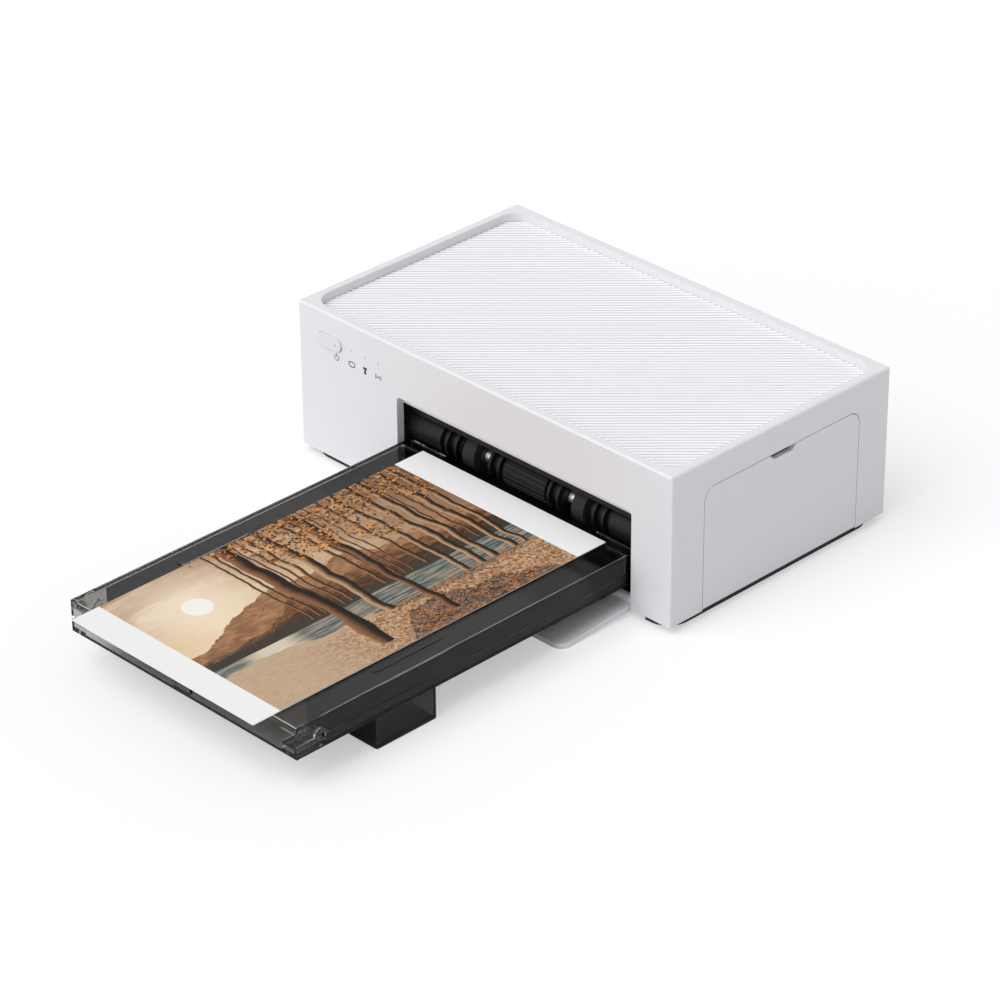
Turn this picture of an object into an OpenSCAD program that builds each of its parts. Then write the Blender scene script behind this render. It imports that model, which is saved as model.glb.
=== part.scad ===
// Compact photo printer with a see-through paper cassette, in millimetres.
// The pieces are drawn from the front left bottom corner of the white housing:
// X to the right, Y to the back, Z up. place() then puts the origin under the
// middle of the housing, on the surface that the printer stands on.

/* [Housing] */
// Width of the white housing
body_w = 208; // [200:1:230]
// Depth of the white housing, front to back
body_d = 125; // [123:1:150]
// Height of the white housing above the black base
body_h = 66; // [66:1:80]
// Thickness of the side walls and the rear wall
wall = 2.4; // [2:0.1:2.8]
// Thickness of the front wall
front_wall = 3.7; // [3.4:0.1:3.9]
// Radius of the housing's outer edges
edge_r = 1; // [0.5:0.1:1.6]
// Width of the rim round the recess in the top
rim_w = 4; // [3:0.5:8]
// Corner radius of the recess in the top
recess_r = 9; // [6:0.5:14]
// Depth of the recess cut into the top
recess_depth = 5; // [4:0.5:5.5]
// Thickness of the roof below the recess
roof_t = 2; // [1.5:0.1:2.4]

/* [Ribbed top panel] */
// Thickness of the panel below its ribs
panel_t = 1; // [0.8:0.1:1.5]
// Height of the ribs
rib_h = 0.5; // [0.3:0.1:0.9]
// Distance from one rib to the next
rib_pitch = 2.2; // [1.8:0.1:4]
// Direction of the ribs, from the X axis
rib_angle = 45; // [0:5:90]
// Gap round the panel
panel_gap = 0.2; // [0.1:0.05:0.4]

/* [Base] */
// Height of the housing's lower edge above the table
base_h = 3.5; // [3:0.1:5]
// Thickness of the base plate
base_t = 1.8; // [1.4:0.1:2.2]
// Corner radius of the base plate
base_r = 10; // [6:1:14]
// Height of the base plate's rim above the housing's lower edge
base_rim = 3.4; // [2:0.1:4]
// Thickness of the rubber pads in the base's underside
foot_h = 0.6; // [0.4:0.1:1]
// Diameter of the rubber pads
foot_d = 11; // [8:1:14]
// Distance from the housing's sides to the middle of a pad
foot_inset = 16; // [14:1:20]

/* [Front opening and flap] */
// Left edge of the opening, from the housing's left side
open_x = 57.5; // [57:0.5:59]
// Width of the opening
open_w = 129.8; // [129:0.1:131]
// Height of the opening
open_h = 43.2; // [42.5:0.1:44]
// Radius of the opening's upper corners
open_r = 2; // [1:0.5:4]
// How far the stop behind the opening hangs below its upper edge
lip_drop = 3.9; // [3:0.1:4.2]
// Thickness of that stop
lip_t = 1.3; // [1:0.1:1.5]
// Thickness of the folded down flap
flap_t = 2.4; // [2:0.1:2.6]
// Gap between the flap and the edges of the opening
flap_gap = 0.6; // [0.4:0.1:0.8]
// Radius of the flap's free corners
flap_r = 5; // [3:0.5:7]
// Distance of the flap's hinge axis behind the front face
flap_hinge_y = 3.2; // [3:0.1:3.3]
// Height of the flap's hinge axis above the housing's lower edge
flap_hinge_z = 2.2; // [2.1:0.1:2.4]
// Radius of the flap's hinge barrels
flap_barrel_r = 1.9; // [1.7:0.1:2]
// Length of the flap's hinge barrels
flap_barrel_l = 14; // [10:1:20]
// Radius of the flap's hinge pins
flap_pin_r = 1; // [0.8:0.1:1.1]

/* [Side door] */
// Front edge of the side door, from the front face
door_y = 18.2; // [18:0.1:19]
// Width of the side door
door_w = 89.3; // [88:0.1:90]
// Height of the side door
door_h = 53.8; // [53.5:0.1:55]
// Radius of the door's upper corners
door_r = 6; // [3:0.5:8]
// Gap round the door
door_gap = 0.35; // [0.25:0.05:0.5]
// Width of the finger notch along the door's upper edge
notch_w = 15.2; // [12:0.1:18]
// Width of the notch at its bottom
notch_low_w = 10.6; // [8:0.1:12]
// Depth of the notch
notch_depth = 2.6; // [2:0.1:3]
// Radius of the door's hinge pins
door_pin_r = 0.7; // [0.5:0.05:0.75]

/* [Controls] */
// Middle of the power button, from the housing's left side
button_x = 18.25; // [17:0.25:20]
// Height of the middle of the power button
button_z = 53.5; // [52:0.25:54]
// Width of the power button
button_w = 14.5; // [12:0.5:16]
// Height of the power button
button_h = 5.6; // [5:0.2:7]
// How far the button stands out of the front face
button_out = 0.8; // [0.7:0.1:1.2]
// How far the button travels
button_travel = 0.6; // [0.4:0.1:0.6]
// Gap round the button
button_gap = 0.2; // [0.15:0.05:0.3]
// Radius of the lamp lenses
lens_r = 0.6; // [0.5:0.05:0.8]
// Middle of the first lamp beside the button
lens_x = 31.4; // [30:0.1:32]
// Distance from one lamp to the next
lens_pitch = 7.75; // [6.5:0.25:8]
// Middle of the lamp in the button, right of the button's middle
button_lens_dx = 4.2; // [3.5:0.1:4.5]

/* [Cassette] */
// Width of the cassette
cassette_w = 126; // [124:0.1:126.4]
// How far the cassette sits right of the opening's middle
cassette_shift = 0.6; // [0:0.1:0.8]
// Distance of the cassette's front end from the housing's front face
cassette_out = 171.6; // [168:0.1:180]
// How far the tray reaches into the printer
cassette_in = 24; // [22:0.5:25]
// Height of the cassette's underside above the housing's lower edge
cassette_z = 10.1; // [9.8:0.1:10.4]
// Height of the cassette
cassette_h = 13.5; // [13.2:0.1:13.8]
// Wall thickness of the cassette
cassette_t = 1.3; // [1.1:0.1:1.5]
// Height of the lid's lower edge above the cassette's underside
seam_h = 5; // [4.6:0.1:5.4]
// Width of the lid's rails beside its window
rail_w = 21; // [18:1:26]
// How far the tray's side ledges reach inwards at the front end
ledge_w = 8; // [6:0.5:9]
// Depth of the lip under the lid's front edge
lip_h = 3.2; // [2.4:0.1:3.6]
// Gap between the lid and the tray
lid_gap = 0.3; // [0.2:0.05:0.4]
// Distance of the lid's hinge axis from the lid's front face and from its top
lid_hinge = 3.6; // [3.4:0.1:3.8]
// Radius of the lid's hinge pins
lid_pin_r = 0.8; // [0.7:0.05:0.9]
// Distance of the latch bosses from the cassette's front end
latch_y = 12.1; // [11:0.1:13]
// Radius of the latch bosses
latch_r = 3; // [2.6:0.1:3.2]
// Distance of the dark inner rails from the cassette's front end
liner_y = 16; // [15.6:0.1:20]
// Width of the dark inner rails
liner_w = 12; // [10:0.5:14]
// Length of the support feet under the cassette
support_l = 30.7; // [26:0.1:34]
// Width of the support feet
support_w = 34; // [20:1:40]
// Distance of the support feet from the cassette's front end
support_y = 39; // [34:0.5:60]
// Width of the tab at the middle of the tray's front edge
tab_w = 9.2; // [7:0.1:12]
// Thickness of the lift plate
lift_t = 1.2; // [1:0.1:1.4]
// Length of the lift plate, from its hinge to its rear edge
lift_l = 80; // [70:1:84]

/* [Print] */
// Width of the printed sheet
sheet_w = 101.6; // [98:0.1:102]
// Length of the printed sheet with its tear-off ends
sheet_l = 181.2; // [175:0.1:184]
// Thickness of the sheet
sheet_t = 0.3; // [0.2:0.05:0.4]

/* [Feed rollers and guide] */
// Distance of the feed shaft behind the front face
feed_y = 13.3; // [13.2:0.1:14]
// Height of the feed shaft above the housing's lower edge
feed_z = 26.5; // [26.2:0.1:27]
// Radius of the feed shaft
feed_shaft_r = 2.5; // [2:0.1:2.8]
// Radius of the rubber feed rollers
feed_r = 7.6; // [7.4:0.1:7.8]
// Width of the rubber feed rollers
tyre_w = 6.4; // [5:0.1:7]
// Distance of the feed rollers from the middle of the guide
roller_dx = 30.3; // [29:0.1:31]
// Radius of the feed guide's drum
guide_r = 7; // [6.8:0.1:7.1]
// How far the guide's rings stand out of the drum
ring_h = 0.3; // [0.2:0.05:0.4]
// Width of the guide's rings
ring_w = 1.3; // [1:0.1:1.6]
// Half width of the fluted middle of the guide
flute_half = 11.5; // [10:0.1:12]
// Radius of the flutes
flute_r = 0.5; // [0.35:0.05:0.6]
// Angle from one flute to the next
flute_step = 15; // [15:5:30]
// Height of the cross bar over the drum
bar_h = 5.8; // [5:0.1:6]

/* [Print engine] */
// Distance of the platen roller in front of the rear face
platen_y = 53.5; // [53:0.5:55]
// Height of the paper path above the housing's lower edge
path_z = 28; // [27.5:0.1:28.4]
// Radius of the platen roller
platen_r = 6; // [5:0.1:6.5]
// Length of the platen roller's rubber
platen_l = 110; // [104:1:112]
// Distance from the platen to each ribbon spool
spool_dy = 24; // [23.5:0.1:25]
// Outer radius of the cartridge's spool housings
case_r = 11; // [10:0.1:11.2]
// Wall thickness of the cartridge
case_t = 1; // [0.8:0.1:1.2]
// Height of the spools above the paper path
spool_dz = 12.2; // [12:0.1:12.4]
// Radius of the ribbon left on the supply spool
supply_r = 9; // [6:0.1:9.2]
// Radius of the ribbon wound on the take-up spool
takeup_r = 6; // [5:0.1:9.2]
// Radius of the spool cores
core_r = 4.4; // [3.5:0.1:4.8]
// Radius of the capstan roller
capstan_r = 3; // [2.5:0.1:3.2]
// Radius of the pinch roller
pinch_r = 4; // [3.5:0.1:4.2]
// Distance of the capstan in front of the rear face
capstan_y = 15.5; // [15:0.1:16.5]
// Thickness of the paper
paper_gap = 0.2; // [0.15:0.05:0.3]
// Length of the thermal head along the paper
head_l = 14; // [10:0.5:15]

/* [Drive] */
// Module of the gears
gear_m = 0.8; // [0.7:0.05:0.8]
// Teeth of the motor pinions
pinion_n = 12; // [12:1:14]
// Teeth of the idler gear
idler_n = 28; // [24:1:30]
// Teeth of the gear on the feed shaft
feed_n = 20; // [18:1:20]
// Teeth of the gear on the capstan
capstan_n = 24; // [22:1:26]
// Width of the gears
gear_w = 5; // [4:0.5:6]
// Play between meshing teeth, measured along the pitch circle
backlash = 0.25; // [0.15:0.05:0.35]
// Radius of the motors
motor_r = 10.5; // [9:0.5:11]
// Length of the motors
motor_l = 25; // [20:1:28]
// Thickness of the steel side frames
frame_t = 1.2; // [1:0.1:1.5]

/* [Rear side] */
// Width of the paper slot in the rear wall
slot_w = 110; // [106:1:114]
// Height of the paper slot
slot_h = 5.6; // [5:0.1:7]
// Width of a vent slot
vent_w = 1.8; // [1.5:0.1:2.2]
// Height of the vent slots
vent_h = 26; // [18:1:30]
// Distance from one vent slot to the next
vent_pitch = 4; // [3.5:0.1:5]
// Number of vent slots
vent_count = 9; // [5:1:9]
// Middle of the power socket, from the housing's left side
power_x = 19; // [16:0.5:22]
// Radius of the power socket's bore
power_r = 2.9; // [2.5:0.1:3.2]
// Depth of the power socket's bore
power_l = 9; // [8:0.5:10]
// Middle of the data socket, from the housing's left side
data_x = 37; // [34:0.5:40]

/* [Hidden] */
$fn = 48;
eps = 0.01;
// Radial clearance of a shaft that turns in its bearing
run_gap = 0.05;
// Radial clearance of a pin that is pressed home
fit_gap = 0.02;
// Clearance between moving pieces that don't touch
clear = 0.3;

// Opening and flap
open_x1 = open_x + open_w;
open_cx = open_x + open_w / 2;
lip_z = open_h - lip_drop;
roof_z = body_h - recess_depth - roof_t;
flap_bottom = 0.6;
flap_top = open_h - flap_gap;
flap_len = flap_top - flap_hinge_z;
flap_reach = sqrt(pow(flap_len, 2) + pow(flap_hinge_y, 2));
// The flap lies open with its free edge on the table
flap_open = 90 + asin((flap_hinge_z + base_h) / flap_reach) - atan2(flap_hinge_y, flap_len);
boss_w = 5;
boss_y = flap_hinge_y + flap_pin_r + 2;

// Door
door_y1 = door_y + door_w;
door_axis = wall / 2;
door_boss = 4.5;
notch_y = door_y + door_w / 2;

// Base
base_inset = wall + 0.2;
base_z = -base_h;
base_top = base_z + base_t;
flap_room_y = boss_y + 1;
screw_r = 1.2;
screw_top = 8;
corner_boss_r = 3;
corner_top = 15;
// Pads lie behind the screws
pad_dy = 8;
pad_gap = 0.1;
pads = [
    for (x = [foot_inset, body_w - foot_inset], y = [foot_inset + pad_dy, body_d - foot_inset - pad_dy])
        [x, y]
];
corners = [
    for (x = [wall + 6.4, body_w - wall - 6.4], y = [front_wall + 6, body_d - wall - 7]) [x, y]
];

// Cassette
cx0 = open_cx + cassette_shift - cassette_w / 2;
cx1 = cx0 + cassette_w;
ccx = (cx0 + cx1) / 2;
cy0 = -cassette_out;
cz1 = cassette_z + cassette_h;
seam_z = cassette_z + seam_h;
lid_y1 = -1;
lid_axis = [cy0 + lid_hinge, cz1 - lid_hinge];
latch_at = [cy0 + latch_y, seam_z];
ear_r = lid_hinge - cassette_t - 0.4;
ear_x = cassette_t + 0.3;
ledge_t = 1;
inner_wall_z = feed_z - guide_r - ring_h - clear;
sleeve_y = lid_y1 + lid_gap + 0.2;
sleeve_y1 = feed_y - feed_r - 1.2;
lift_y1 = cassette_in - cassette_t - 1;
lift_y0 = lift_y1 - lift_l;
floor_z = cassette_z + cassette_t;
lift_pin_r = 0.8;
lift_axis_z = floor_z + 1.4;
sheet_y0 = -sheet_l + 0.1;

// Feed guide and portal
portal_t = 1.6;
portal_y0 = front_wall + lip_t;
portal_y1 = 23;
portal_x0 = open_x + 0.1 - portal_t;
portal_x1 = open_x1 - 0.1 + portal_t;
ring_r = guide_r + ring_h;
ring_places = [13.9, 18.8, 38.2, 43.3];
window_in = 20.6;
window_out = 36.3;
guide_core_r = 5.2;
bar_z0 = feed_z + ring_r - 0.8;
frame_gap = 0.2;
left_frame_x = portal_x0 - frame_gap - frame_t;
right_frame_x = portal_x1 + frame_gap;
frame_y0 = 6.5;
frame_y1 = body_d - wall - 4;
frame_z1 = roof_z - 2;
// Width of the feet that the side frames stand on
frame_foot = 6;
bush_r = 4;
bush_flange = 1;

// Print engine
spool_z = path_z + spool_dz;
platen_at = [body_d - platen_y, path_z - platen_r];
platen_shaft_r = 2.5;
supply_y = platen_at[0] - spool_dy;
takeup_y = platen_at[0] + spool_dy;
capstan_at = [body_d - capstan_y, path_z - capstan_r];
pinch_z = path_z + paper_gap + pinch_r;
case_x0 = portal_x0 + 8;
case_x1 = portal_x1 - 6;
case_end = 2;
grip_x1 = body_w - wall - 3;
film_z = path_z + 0.25;
film_t = 0.1;
deck_t = 1.2;
deck_z = path_z - 0.3 - deck_t;
head_z = film_z + film_t + clear;
head_bar_h = 2.6;
head_pivot = [0, capstan_at[0] + 5, 50];
head_shaft_r = 2;
arm_t = 1.6;
arm_z = spool_z + case_r + 1.4;
arm_reach = 9;
grip_w = 24;
grip_t = 2;
grip_drop = 5;
grip_z = spool_z + 7;

// Drive
idler_dist = gear_m * (idler_n + feed_n) / 2;
idler_dir = 40;
idler_at = [feed_y + idler_dist * cos(idler_dir), feed_z + idler_dist * sin(idler_dir)];
pinion_dist = gear_m * (idler_n + pinion_n) / 2;
pinion_at = [idler_at[0] + pinion_dist, idler_at[1]];
capstan_dist = gear_m * (capstan_n + pinion_n) / 2;
capstan_dir = 135;
cap_pinion_at = [
    capstan_at[0] + capstan_dist * cos(capstan_dir),
    capstan_at[1] + capstan_dist * sin(capstan_dir)
];
gear_x1 = left_frame_x - 2;
gear_x0 = gear_x1 - gear_w;
gear_plate_x = gear_x0 - 1.5 - frame_t;
motor_x1 = gear_plate_x;
motor_x0 = motor_x1 - motor_l;
arbor_r = 1.5;

// Boards and sockets
board_z = 4;
board_t = 1.6;
board_x0 = 13;
board_x1 = gear_plate_x - 1;
board_y1 = body_d - wall - 1;
board_y0 = board_y1 - 61.6;
part_gap = 4;
chip = [12, 12, 1.6];
driver = [6, 6, 1.4];
plug = [7, 12, 5];
can_r = 3.2;
can_h = 9;
coil_r = 4;
coil_h = 10;
port_gap = 0.4;
power_box = 9;
data_w = 9;
data_h = 3.2;
slot_z = path_z - 2.4;
button_back = front_wall + 1.05;
panel_board_y = front_wall + 5;

// ---- shapes that repeat ----

module place() {
    translate([-body_w / 2, -body_d / 2, base_h]) children();
}

// A box between two opposite corners
module block(low, high) {
    translate(low) cube(high - low);
}

// A flat rounded rectangle with its corner at the origin
module rrect(w, d, r) {
    if (w - 2 * r > eps) translate([r, 0]) square([w - 2 * r, d]);
    if (d - 2 * r > eps) translate([0, r]) square([w, d - 2 * r]);
    for (x = [r, w - r], y = [r, d - r]) translate([x, y]) circle(r);
}

// A flat rectangle whose upper corners are round
module arch_rect(w, h, r) {
    square([w, h - r]);
    translate([r, 0]) square([w - 2 * r, h]);
    for (x = [r, w - r]) translate([x, h - r]) circle(r);
}

// Extrudes a profile drawn in Y and Z along X
module along_x(x0, x1) {
    translate([x0, 0, 0]) rotate([90, 0, 90]) linear_extrude(x1 - x0) children();
}

// Extrudes a profile drawn in X and Z along Y
module along_y(y0, y1) {
    translate([0, y1, 0]) rotate([90, 0, 0]) linear_extrude(y1 - y0) children();
}

// A rod along X
module rod(x0, x1, y, z, r) {
    translate([x0, y, z]) rotate([0, 90, 0]) cylinder(r = r, h = x1 - x0);
}

// A tube along X
module pipe(x0, x1, y, z, r_out, r_in) {
    difference() {
        rod(x0, x1, y, z, r_out);
        rod(x0 - 1, x1 + 1, y, z, r_in);
    }
}

// A rod along Y
module rod_y(x, y0, y1, z, r) {
    translate([x, y1, z]) rotate([90, 0, 0]) cylinder(r = r, h = y1 - y0);
}

// Mirrors a piece to the other side of a plane x = middle
module both_sides(middle) {
    children();
    translate([2 * middle, 0, 0]) mirror([1, 0, 0]) children();
}

function roll_angle(rb, r) = tan(acos(rb / r)) * 180 / PI - acos(rb / r);

// Half the angle of a gear tooth at radius r
function tooth_half(n, r) =
    let (rp = gear_m * n / 2, rb = rp * cos(20))
    90 / n + roll_angle(rb, rp) - roll_angle(rb, max(r, rb)) - backlash / 4 / rp * 180 / PI;

// A gear's outline with involute flanks
module gear_outline(n, turn) {
    rp = gear_m * n / 2;
    ra = rp + gear_m * 0.95;
    rb = rp * cos(20);
    low = max(rb + eps, rp - gear_m * 0.9);
    root = rp - gear_m * 1.25;
    rows = [[root, low], [low, low], [rp, rp], [ra, ra]];
    polygon([
        for (k = [0:n - 1])
            for (side = [-1, 1])
                for (i = [0:3])
                    let (row = rows[side < 0 ? i : 3 - i])
                    let (a = turn + k * 360 / n + side * tooth_half(n, row[1]))
                    [row[0] * cos(a), row[0] * sin(a)]
    ]);
}

// A spur gear on the X axis at [y, z]
module gear(n, at, turn, x0, x1, bore) {
    translate([0, at[0], at[1]]) along_x(x0, x1) difference() {
        gear_outline(n, turn);
        circle(bore);
    }
}

// The turn that puts a gear of n teeth in mesh with one of m teeth at turn t, lying in direction d
function mesh_turn(m, t, d, n) =
    let (pitch_a = 360 / m, part = ((d - t) / pitch_a) - floor((d - t) / pitch_a))
    d + 180 - (0.5 - part) * 360 / n;

feed_turn = 0;
idler_turn = mesh_turn(feed_n, feed_turn, idler_dir, idler_n);
pinion_turn = mesh_turn(idler_n, idler_turn, 0, pinion_n);
cap_pinion_turn = mesh_turn(capstan_n, 0, capstan_dir, pinion_n);

// ---- housing ----

// A block with round upright and upper edges
module outer_form() {
    intersection() {
        linear_extrude(body_h) rrect(body_w, body_d, edge_r);
        along_y(0, body_d) arch_rect(body_w, body_h, edge_r);
        along_x(0, body_w) arch_rect(body_d, body_h, edge_r);
    }
}

module vent_row() {
    for (i = [0:vent_count - 1])
        translate([7 + i * vent_pitch, roof_z - 5 - vent_h]) rrect(vent_w, vent_h, vent_w / 2);
}

// Bosses in the housing's corners that the base plate's screws go into
module corner_bosses() {
    low = base_rim + clear;
    for (at = corners) {
        end = at[1] < body_d / 2 ? 0 : body_d - wall / 2;
        translate([at[0], at[1], base_top]) cylinder(r = corner_boss_r, h = corner_top - base_top);
        // web to the wall
        block([at[0] - 0.8, min(at[1], end + wall / 2), low], [at[0] + 0.8, max(at[1], end), corner_top]);
    }
}

module housing() {
    color("white") difference() {
        union() {
            difference() {
                outer_form();
                block([wall, front_wall, -1], [body_w - wall, body_d - wall, roof_z]);
                translate([rim_w, rim_w, body_h - recess_depth])
                    linear_extrude(recess_depth + 1)
                        rrect(body_w - 2 * rim_w, body_d - 2 * rim_w, recess_r);
            }
            // stop for the closed flap
            block([open_x - 3, 1, lip_z], [open_x1 + 3, front_wall + lip_t, open_h + 3]);
            // bosses for the flap's pins
            block([open_x - boss_w, 1, 0], [open_x, boss_y, boss_w]);
            block([open_x1, 1, 0], [open_x1 + boss_w, boss_y, boss_w]);
            // bosses for the door's pins
            for (y = [door_y - door_boss, door_y1])
                block([body_w - wall - 2, y, 0], [body_w - 1, y + door_boss, boss_w]);
            // stops for the closed door
            for (y = [door_y - 2, door_y1 - 1.5])
                block([body_w - wall - 1.4, y, boss_w], [body_w - wall, y + 3.5, door_h - door_r]);
            corner_bosses();
        }
        for (at = corners)
            translate([at[0], at[1], base_z]) cylinder(r = screw_r + fit_gap, h = screw_top + 0.5 - base_z);
        // front opening
        translate([open_x, 0, -1]) along_y(-1, front_wall) arch_rect(open_w, open_h + 1, open_r);
        // holes for the hinge pins
        rod(open_x - boss_w + 1, open_x1 + boss_w - 1, flap_hinge_y, flap_hinge_z, flap_pin_r + run_gap);
        rod_y(body_w - door_axis, door_y - 3.5, door_y1 + 3.5, door_axis, door_pin_r + run_gap);
        // side aperture
        translate([0, door_y, -1]) along_x(body_w - wall, body_w + 1) arch_rect(door_w, door_h + 1, door_r);
        // power button and lamps
        translate([button_x - button_w / 2 - button_gap, 0, button_z - button_h / 2 - button_gap])
            along_y(-1, front_wall + 1)
                rrect(button_w + 2 * button_gap, button_h + 2 * button_gap, button_h / 2 + button_gap);
        for (i = [0:2]) rod_y(lens_x + i * lens_pitch, -1, front_wall + 1, button_z + 0.3, lens_r);
        // rear paper slot, vents and sockets
        translate([open_cx - slot_w / 2, 0, slot_z])
            along_y(body_d - wall - 1, body_d + 1) rrect(slot_w, slot_h, 1.5);
        along_y(body_d - wall - 1, body_d + 1) vent_row();
        rod_y(power_x, body_d - wall - 1, body_d + 1, board_z + board_t + power_box / 2, power_r + 1);
        translate([data_x - data_w / 2 - port_gap, 0, board_z + board_t - port_gap])
            along_y(body_d - wall - 1, body_d + 1) data_outline(port_gap);
        // openings for the left side's fan air
        for (i = [0:5])
            translate([0, body_d - 52 + i * 7, 12]) along_x(-1, wall + 1) rrect(2.2, 30, 1.1);
    }
}

module top_panel() {
    w = body_w - 2 * (rim_w + panel_gap);
    d = body_d - 2 * (rim_w + panel_gap);
    reach = (w + d) / 2;
    n = ceil(2 * reach / rib_pitch);
    color("whitesmoke") translate([rim_w + panel_gap, rim_w + panel_gap, body_h - recess_depth])
        intersection() {
            linear_extrude(panel_t + rib_h) rrect(w, d, recess_r - panel_gap);
            translate([w / 2, d / 2, 0]) rotate([0, 0, rib_angle - 90])
                along_y(-reach, reach)
                    polygon(concat(
                        [[n * rib_pitch / 2, 0], [-n * rib_pitch / 2, 0]],
                        [for (i = [0:2 * n]) [(i - n) * rib_pitch / 2, panel_t + (i % 2) * rib_h]]
                    ));
        }
}

module base_outline(inset, r) {
    translate([inset, inset]) rrect(body_w - 2 * inset, body_d - 2 * inset, r);
}

module base_seat(inset, front) {
    translate([inset, inset + front]) square([body_w - 2 * inset, body_d - 2 * inset - front]);
}

module base_plate() {
    inset = base_inset;
    front = front_wall + 0.2 - inset;
    color([0.1, 0.1, 0.11]) difference() {
        union() {
            translate([0, 0, base_z]) linear_extrude(-base_z) difference() {
                base_outline(inset, base_r);
                base_outline(inset + 1.6, base_r - 1.6);
            }
            translate([0, 0, base_z]) linear_extrude(base_t) base_outline(inset, base_r);
            // shelf and rim that fit inside the housing
            translate([0, 0, -1.2]) linear_extrude(base_rim + 1.2) difference() {
                base_seat(inset, front);
                base_seat(inset + 1.6, front);
            }
            translate([0, 0, -1.2]) linear_extrude(1.2) difference() {
                base_seat(inset, front);
                base_outline(inset + 1.6, base_r - 1.6);
            }
            for (x = [board_x0 + 4, board_x1 - 4], y = [board_y0 + 4, board_y1 - 16.6])
                translate([x, y, base_z]) cylinder(r = 2.6, h = board_z - base_z);
        }
        // screw holes
        for (at = corners) translate([at[0], at[1], base_z - 1]) {
            cylinder(r = screw_r + 0.3, h = base_t + 2);
            cylinder(r = 2.9, h = 1.8);
        }
        // room for the housing's bosses and for the pads
        for (at = corners)
            translate([at[0], at[1], base_top]) cylinder(r = corner_boss_r + clear, h = base_rim - base_z);
        for (at = pads)
            translate([at[0], at[1], base_z - 1]) cylinder(r = foot_d / 2 + pad_gap, h = foot_h + 1);
        // room for the flap
        block([open_x - boss_w - 0.5, -1, base_z - 1], [open_x1 + boss_w + 0.5, flap_room_y, base_rim + 1]);
        // room for the door and its bosses
        block([body_w - wall - 3, door_y - door_boss - 0.5, base_z + base_t],
            [body_w, door_y1 + door_boss + 0.5, base_rim + 1]);
    }
}

module rubber_feet() {
    color([0.2, 0.2, 0.2])
        for (at = pads) translate([at[0], at[1], base_z]) cylinder(d = foot_d, h = foot_h);
}

// ---- flap and door ----

module at_flap_hinge() {
    translate([0, flap_hinge_y, flap_hinge_z]) rotate([flap_open, 0, 0])
        translate([0, -flap_hinge_y, -flap_hinge_z]) children();
}

module front_flap() {
    x0 = open_x + flap_gap;
    x1 = open_x1 - flap_gap;
    color("white") at_flap_hinge() difference() {
        union() {
            translate([x0, 0, flap_bottom])
                along_y(0, flap_t) arch_rect(x1 - x0, flap_top - flap_bottom, flap_r);
            for (x = [x0, x1 - flap_barrel_l])
                rod(x, x + flap_barrel_l, flap_hinge_y, flap_hinge_z, flap_barrel_r);
        }
        for (x = [x0 - 1, x1 - 8]) rod(x, x + 9, flap_hinge_y, flap_hinge_z, flap_pin_r + fit_gap);
    }
}

module flap_pins() {
    color("silver") {
        rod(open_x - 3.5, open_x + flap_gap + 7.5, flap_hinge_y, flap_hinge_z, flap_pin_r);
        rod(open_x1 - flap_gap - 7.5, open_x1 + 3.5, flap_hinge_y, flap_hinge_z, flap_pin_r);
    }
}

module side_door() {
    y0 = door_y + door_gap;
    w = door_w - 2 * door_gap;
    color("white") difference() {
        union() {
            intersection() {
                translate([0, y0, 0])
                    along_x(body_w - wall, body_w) arch_rect(w, door_h - door_gap, door_r - door_gap);
                block([body_w - wall, door_y, door_axis], [body_w, door_y1, door_h]);
            }
            rod_y(body_w - door_axis, y0, y0 + w, door_axis, door_axis);
            // stiffening ribs inside
            for (y = [door_y + 8, door_y1 - 9.2])
                block([body_w - wall - 1.6, y, 6], [body_w - wall + 0.5, y + 1.2, door_h - 8]);
            // latch hook
            block([body_w - wall - 2.6, notch_y - 4, door_h - 8],
                [body_w - wall + 0.5, notch_y + 4, door_h - 6]);
        }
        translate([0, notch_y, 0]) along_x(body_w - wall - 1, body_w + 1) polygon([
            [-notch_w / 2, door_h + 1], [-notch_w / 2, door_h - door_gap],
            [-notch_low_w / 2, door_h - notch_depth], [notch_low_w / 2, door_h - notch_depth],
            [notch_w / 2, door_h - door_gap], [notch_w / 2, door_h + 1]
        ]);
        for (y = [y0 - 1, y0 + w - 5])
            rod_y(body_w - door_axis, y, y + 6, door_axis, door_pin_r + fit_gap);
    }
}

module door_pins() {
    color("silver") {
        rod_y(body_w - door_axis, door_y - 3, door_y + door_gap + 4.5, door_axis, door_pin_r);
        rod_y(body_w - door_axis, door_y1 - door_gap - 4.5, door_y1 + 3, door_axis, door_pin_r);
    }
}

// The catch that the door's hook snaps under, seen as the black inside of the notch
module door_catch() {
    color([0.08, 0.08, 0.08]) difference() {
        block([body_w - wall - 5, notch_y - 9, door_h - 5], [body_w - wall - 0.4, notch_y + 9, roof_z]);
        block([body_w - wall - 3, notch_y - 5, door_h - 6], [body_w - wall, notch_y + 5, door_h - 3.4]);
    }
}

// ---- controls ----

module pill(grow, y0, y1) {
    translate([button_x - button_w / 2 - grow, 0, button_z - button_h / 2 - grow])
        along_y(y0, y1) rrect(button_w + 2 * grow, button_h + 2 * grow, button_h / 2 + grow);
}

module power_button() {
    color("whitesmoke") difference() {
        union() {
            pill(0, -button_out, front_wall + run_gap);
            // flange that keeps it from falling out
            pill(0.8, front_wall + run_gap, button_back);
        }
        pill(-1.2, 1.5, front_wall - 0.6);
        rod_y(button_x + button_lens_dx, -button_out - 1, 2, button_z, lens_r + fit_gap);
    }
}

module button_lens() {
    color("white") rod_y(button_x + button_lens_dx, -button_out, 1.5, button_z, lens_r);
}

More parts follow.
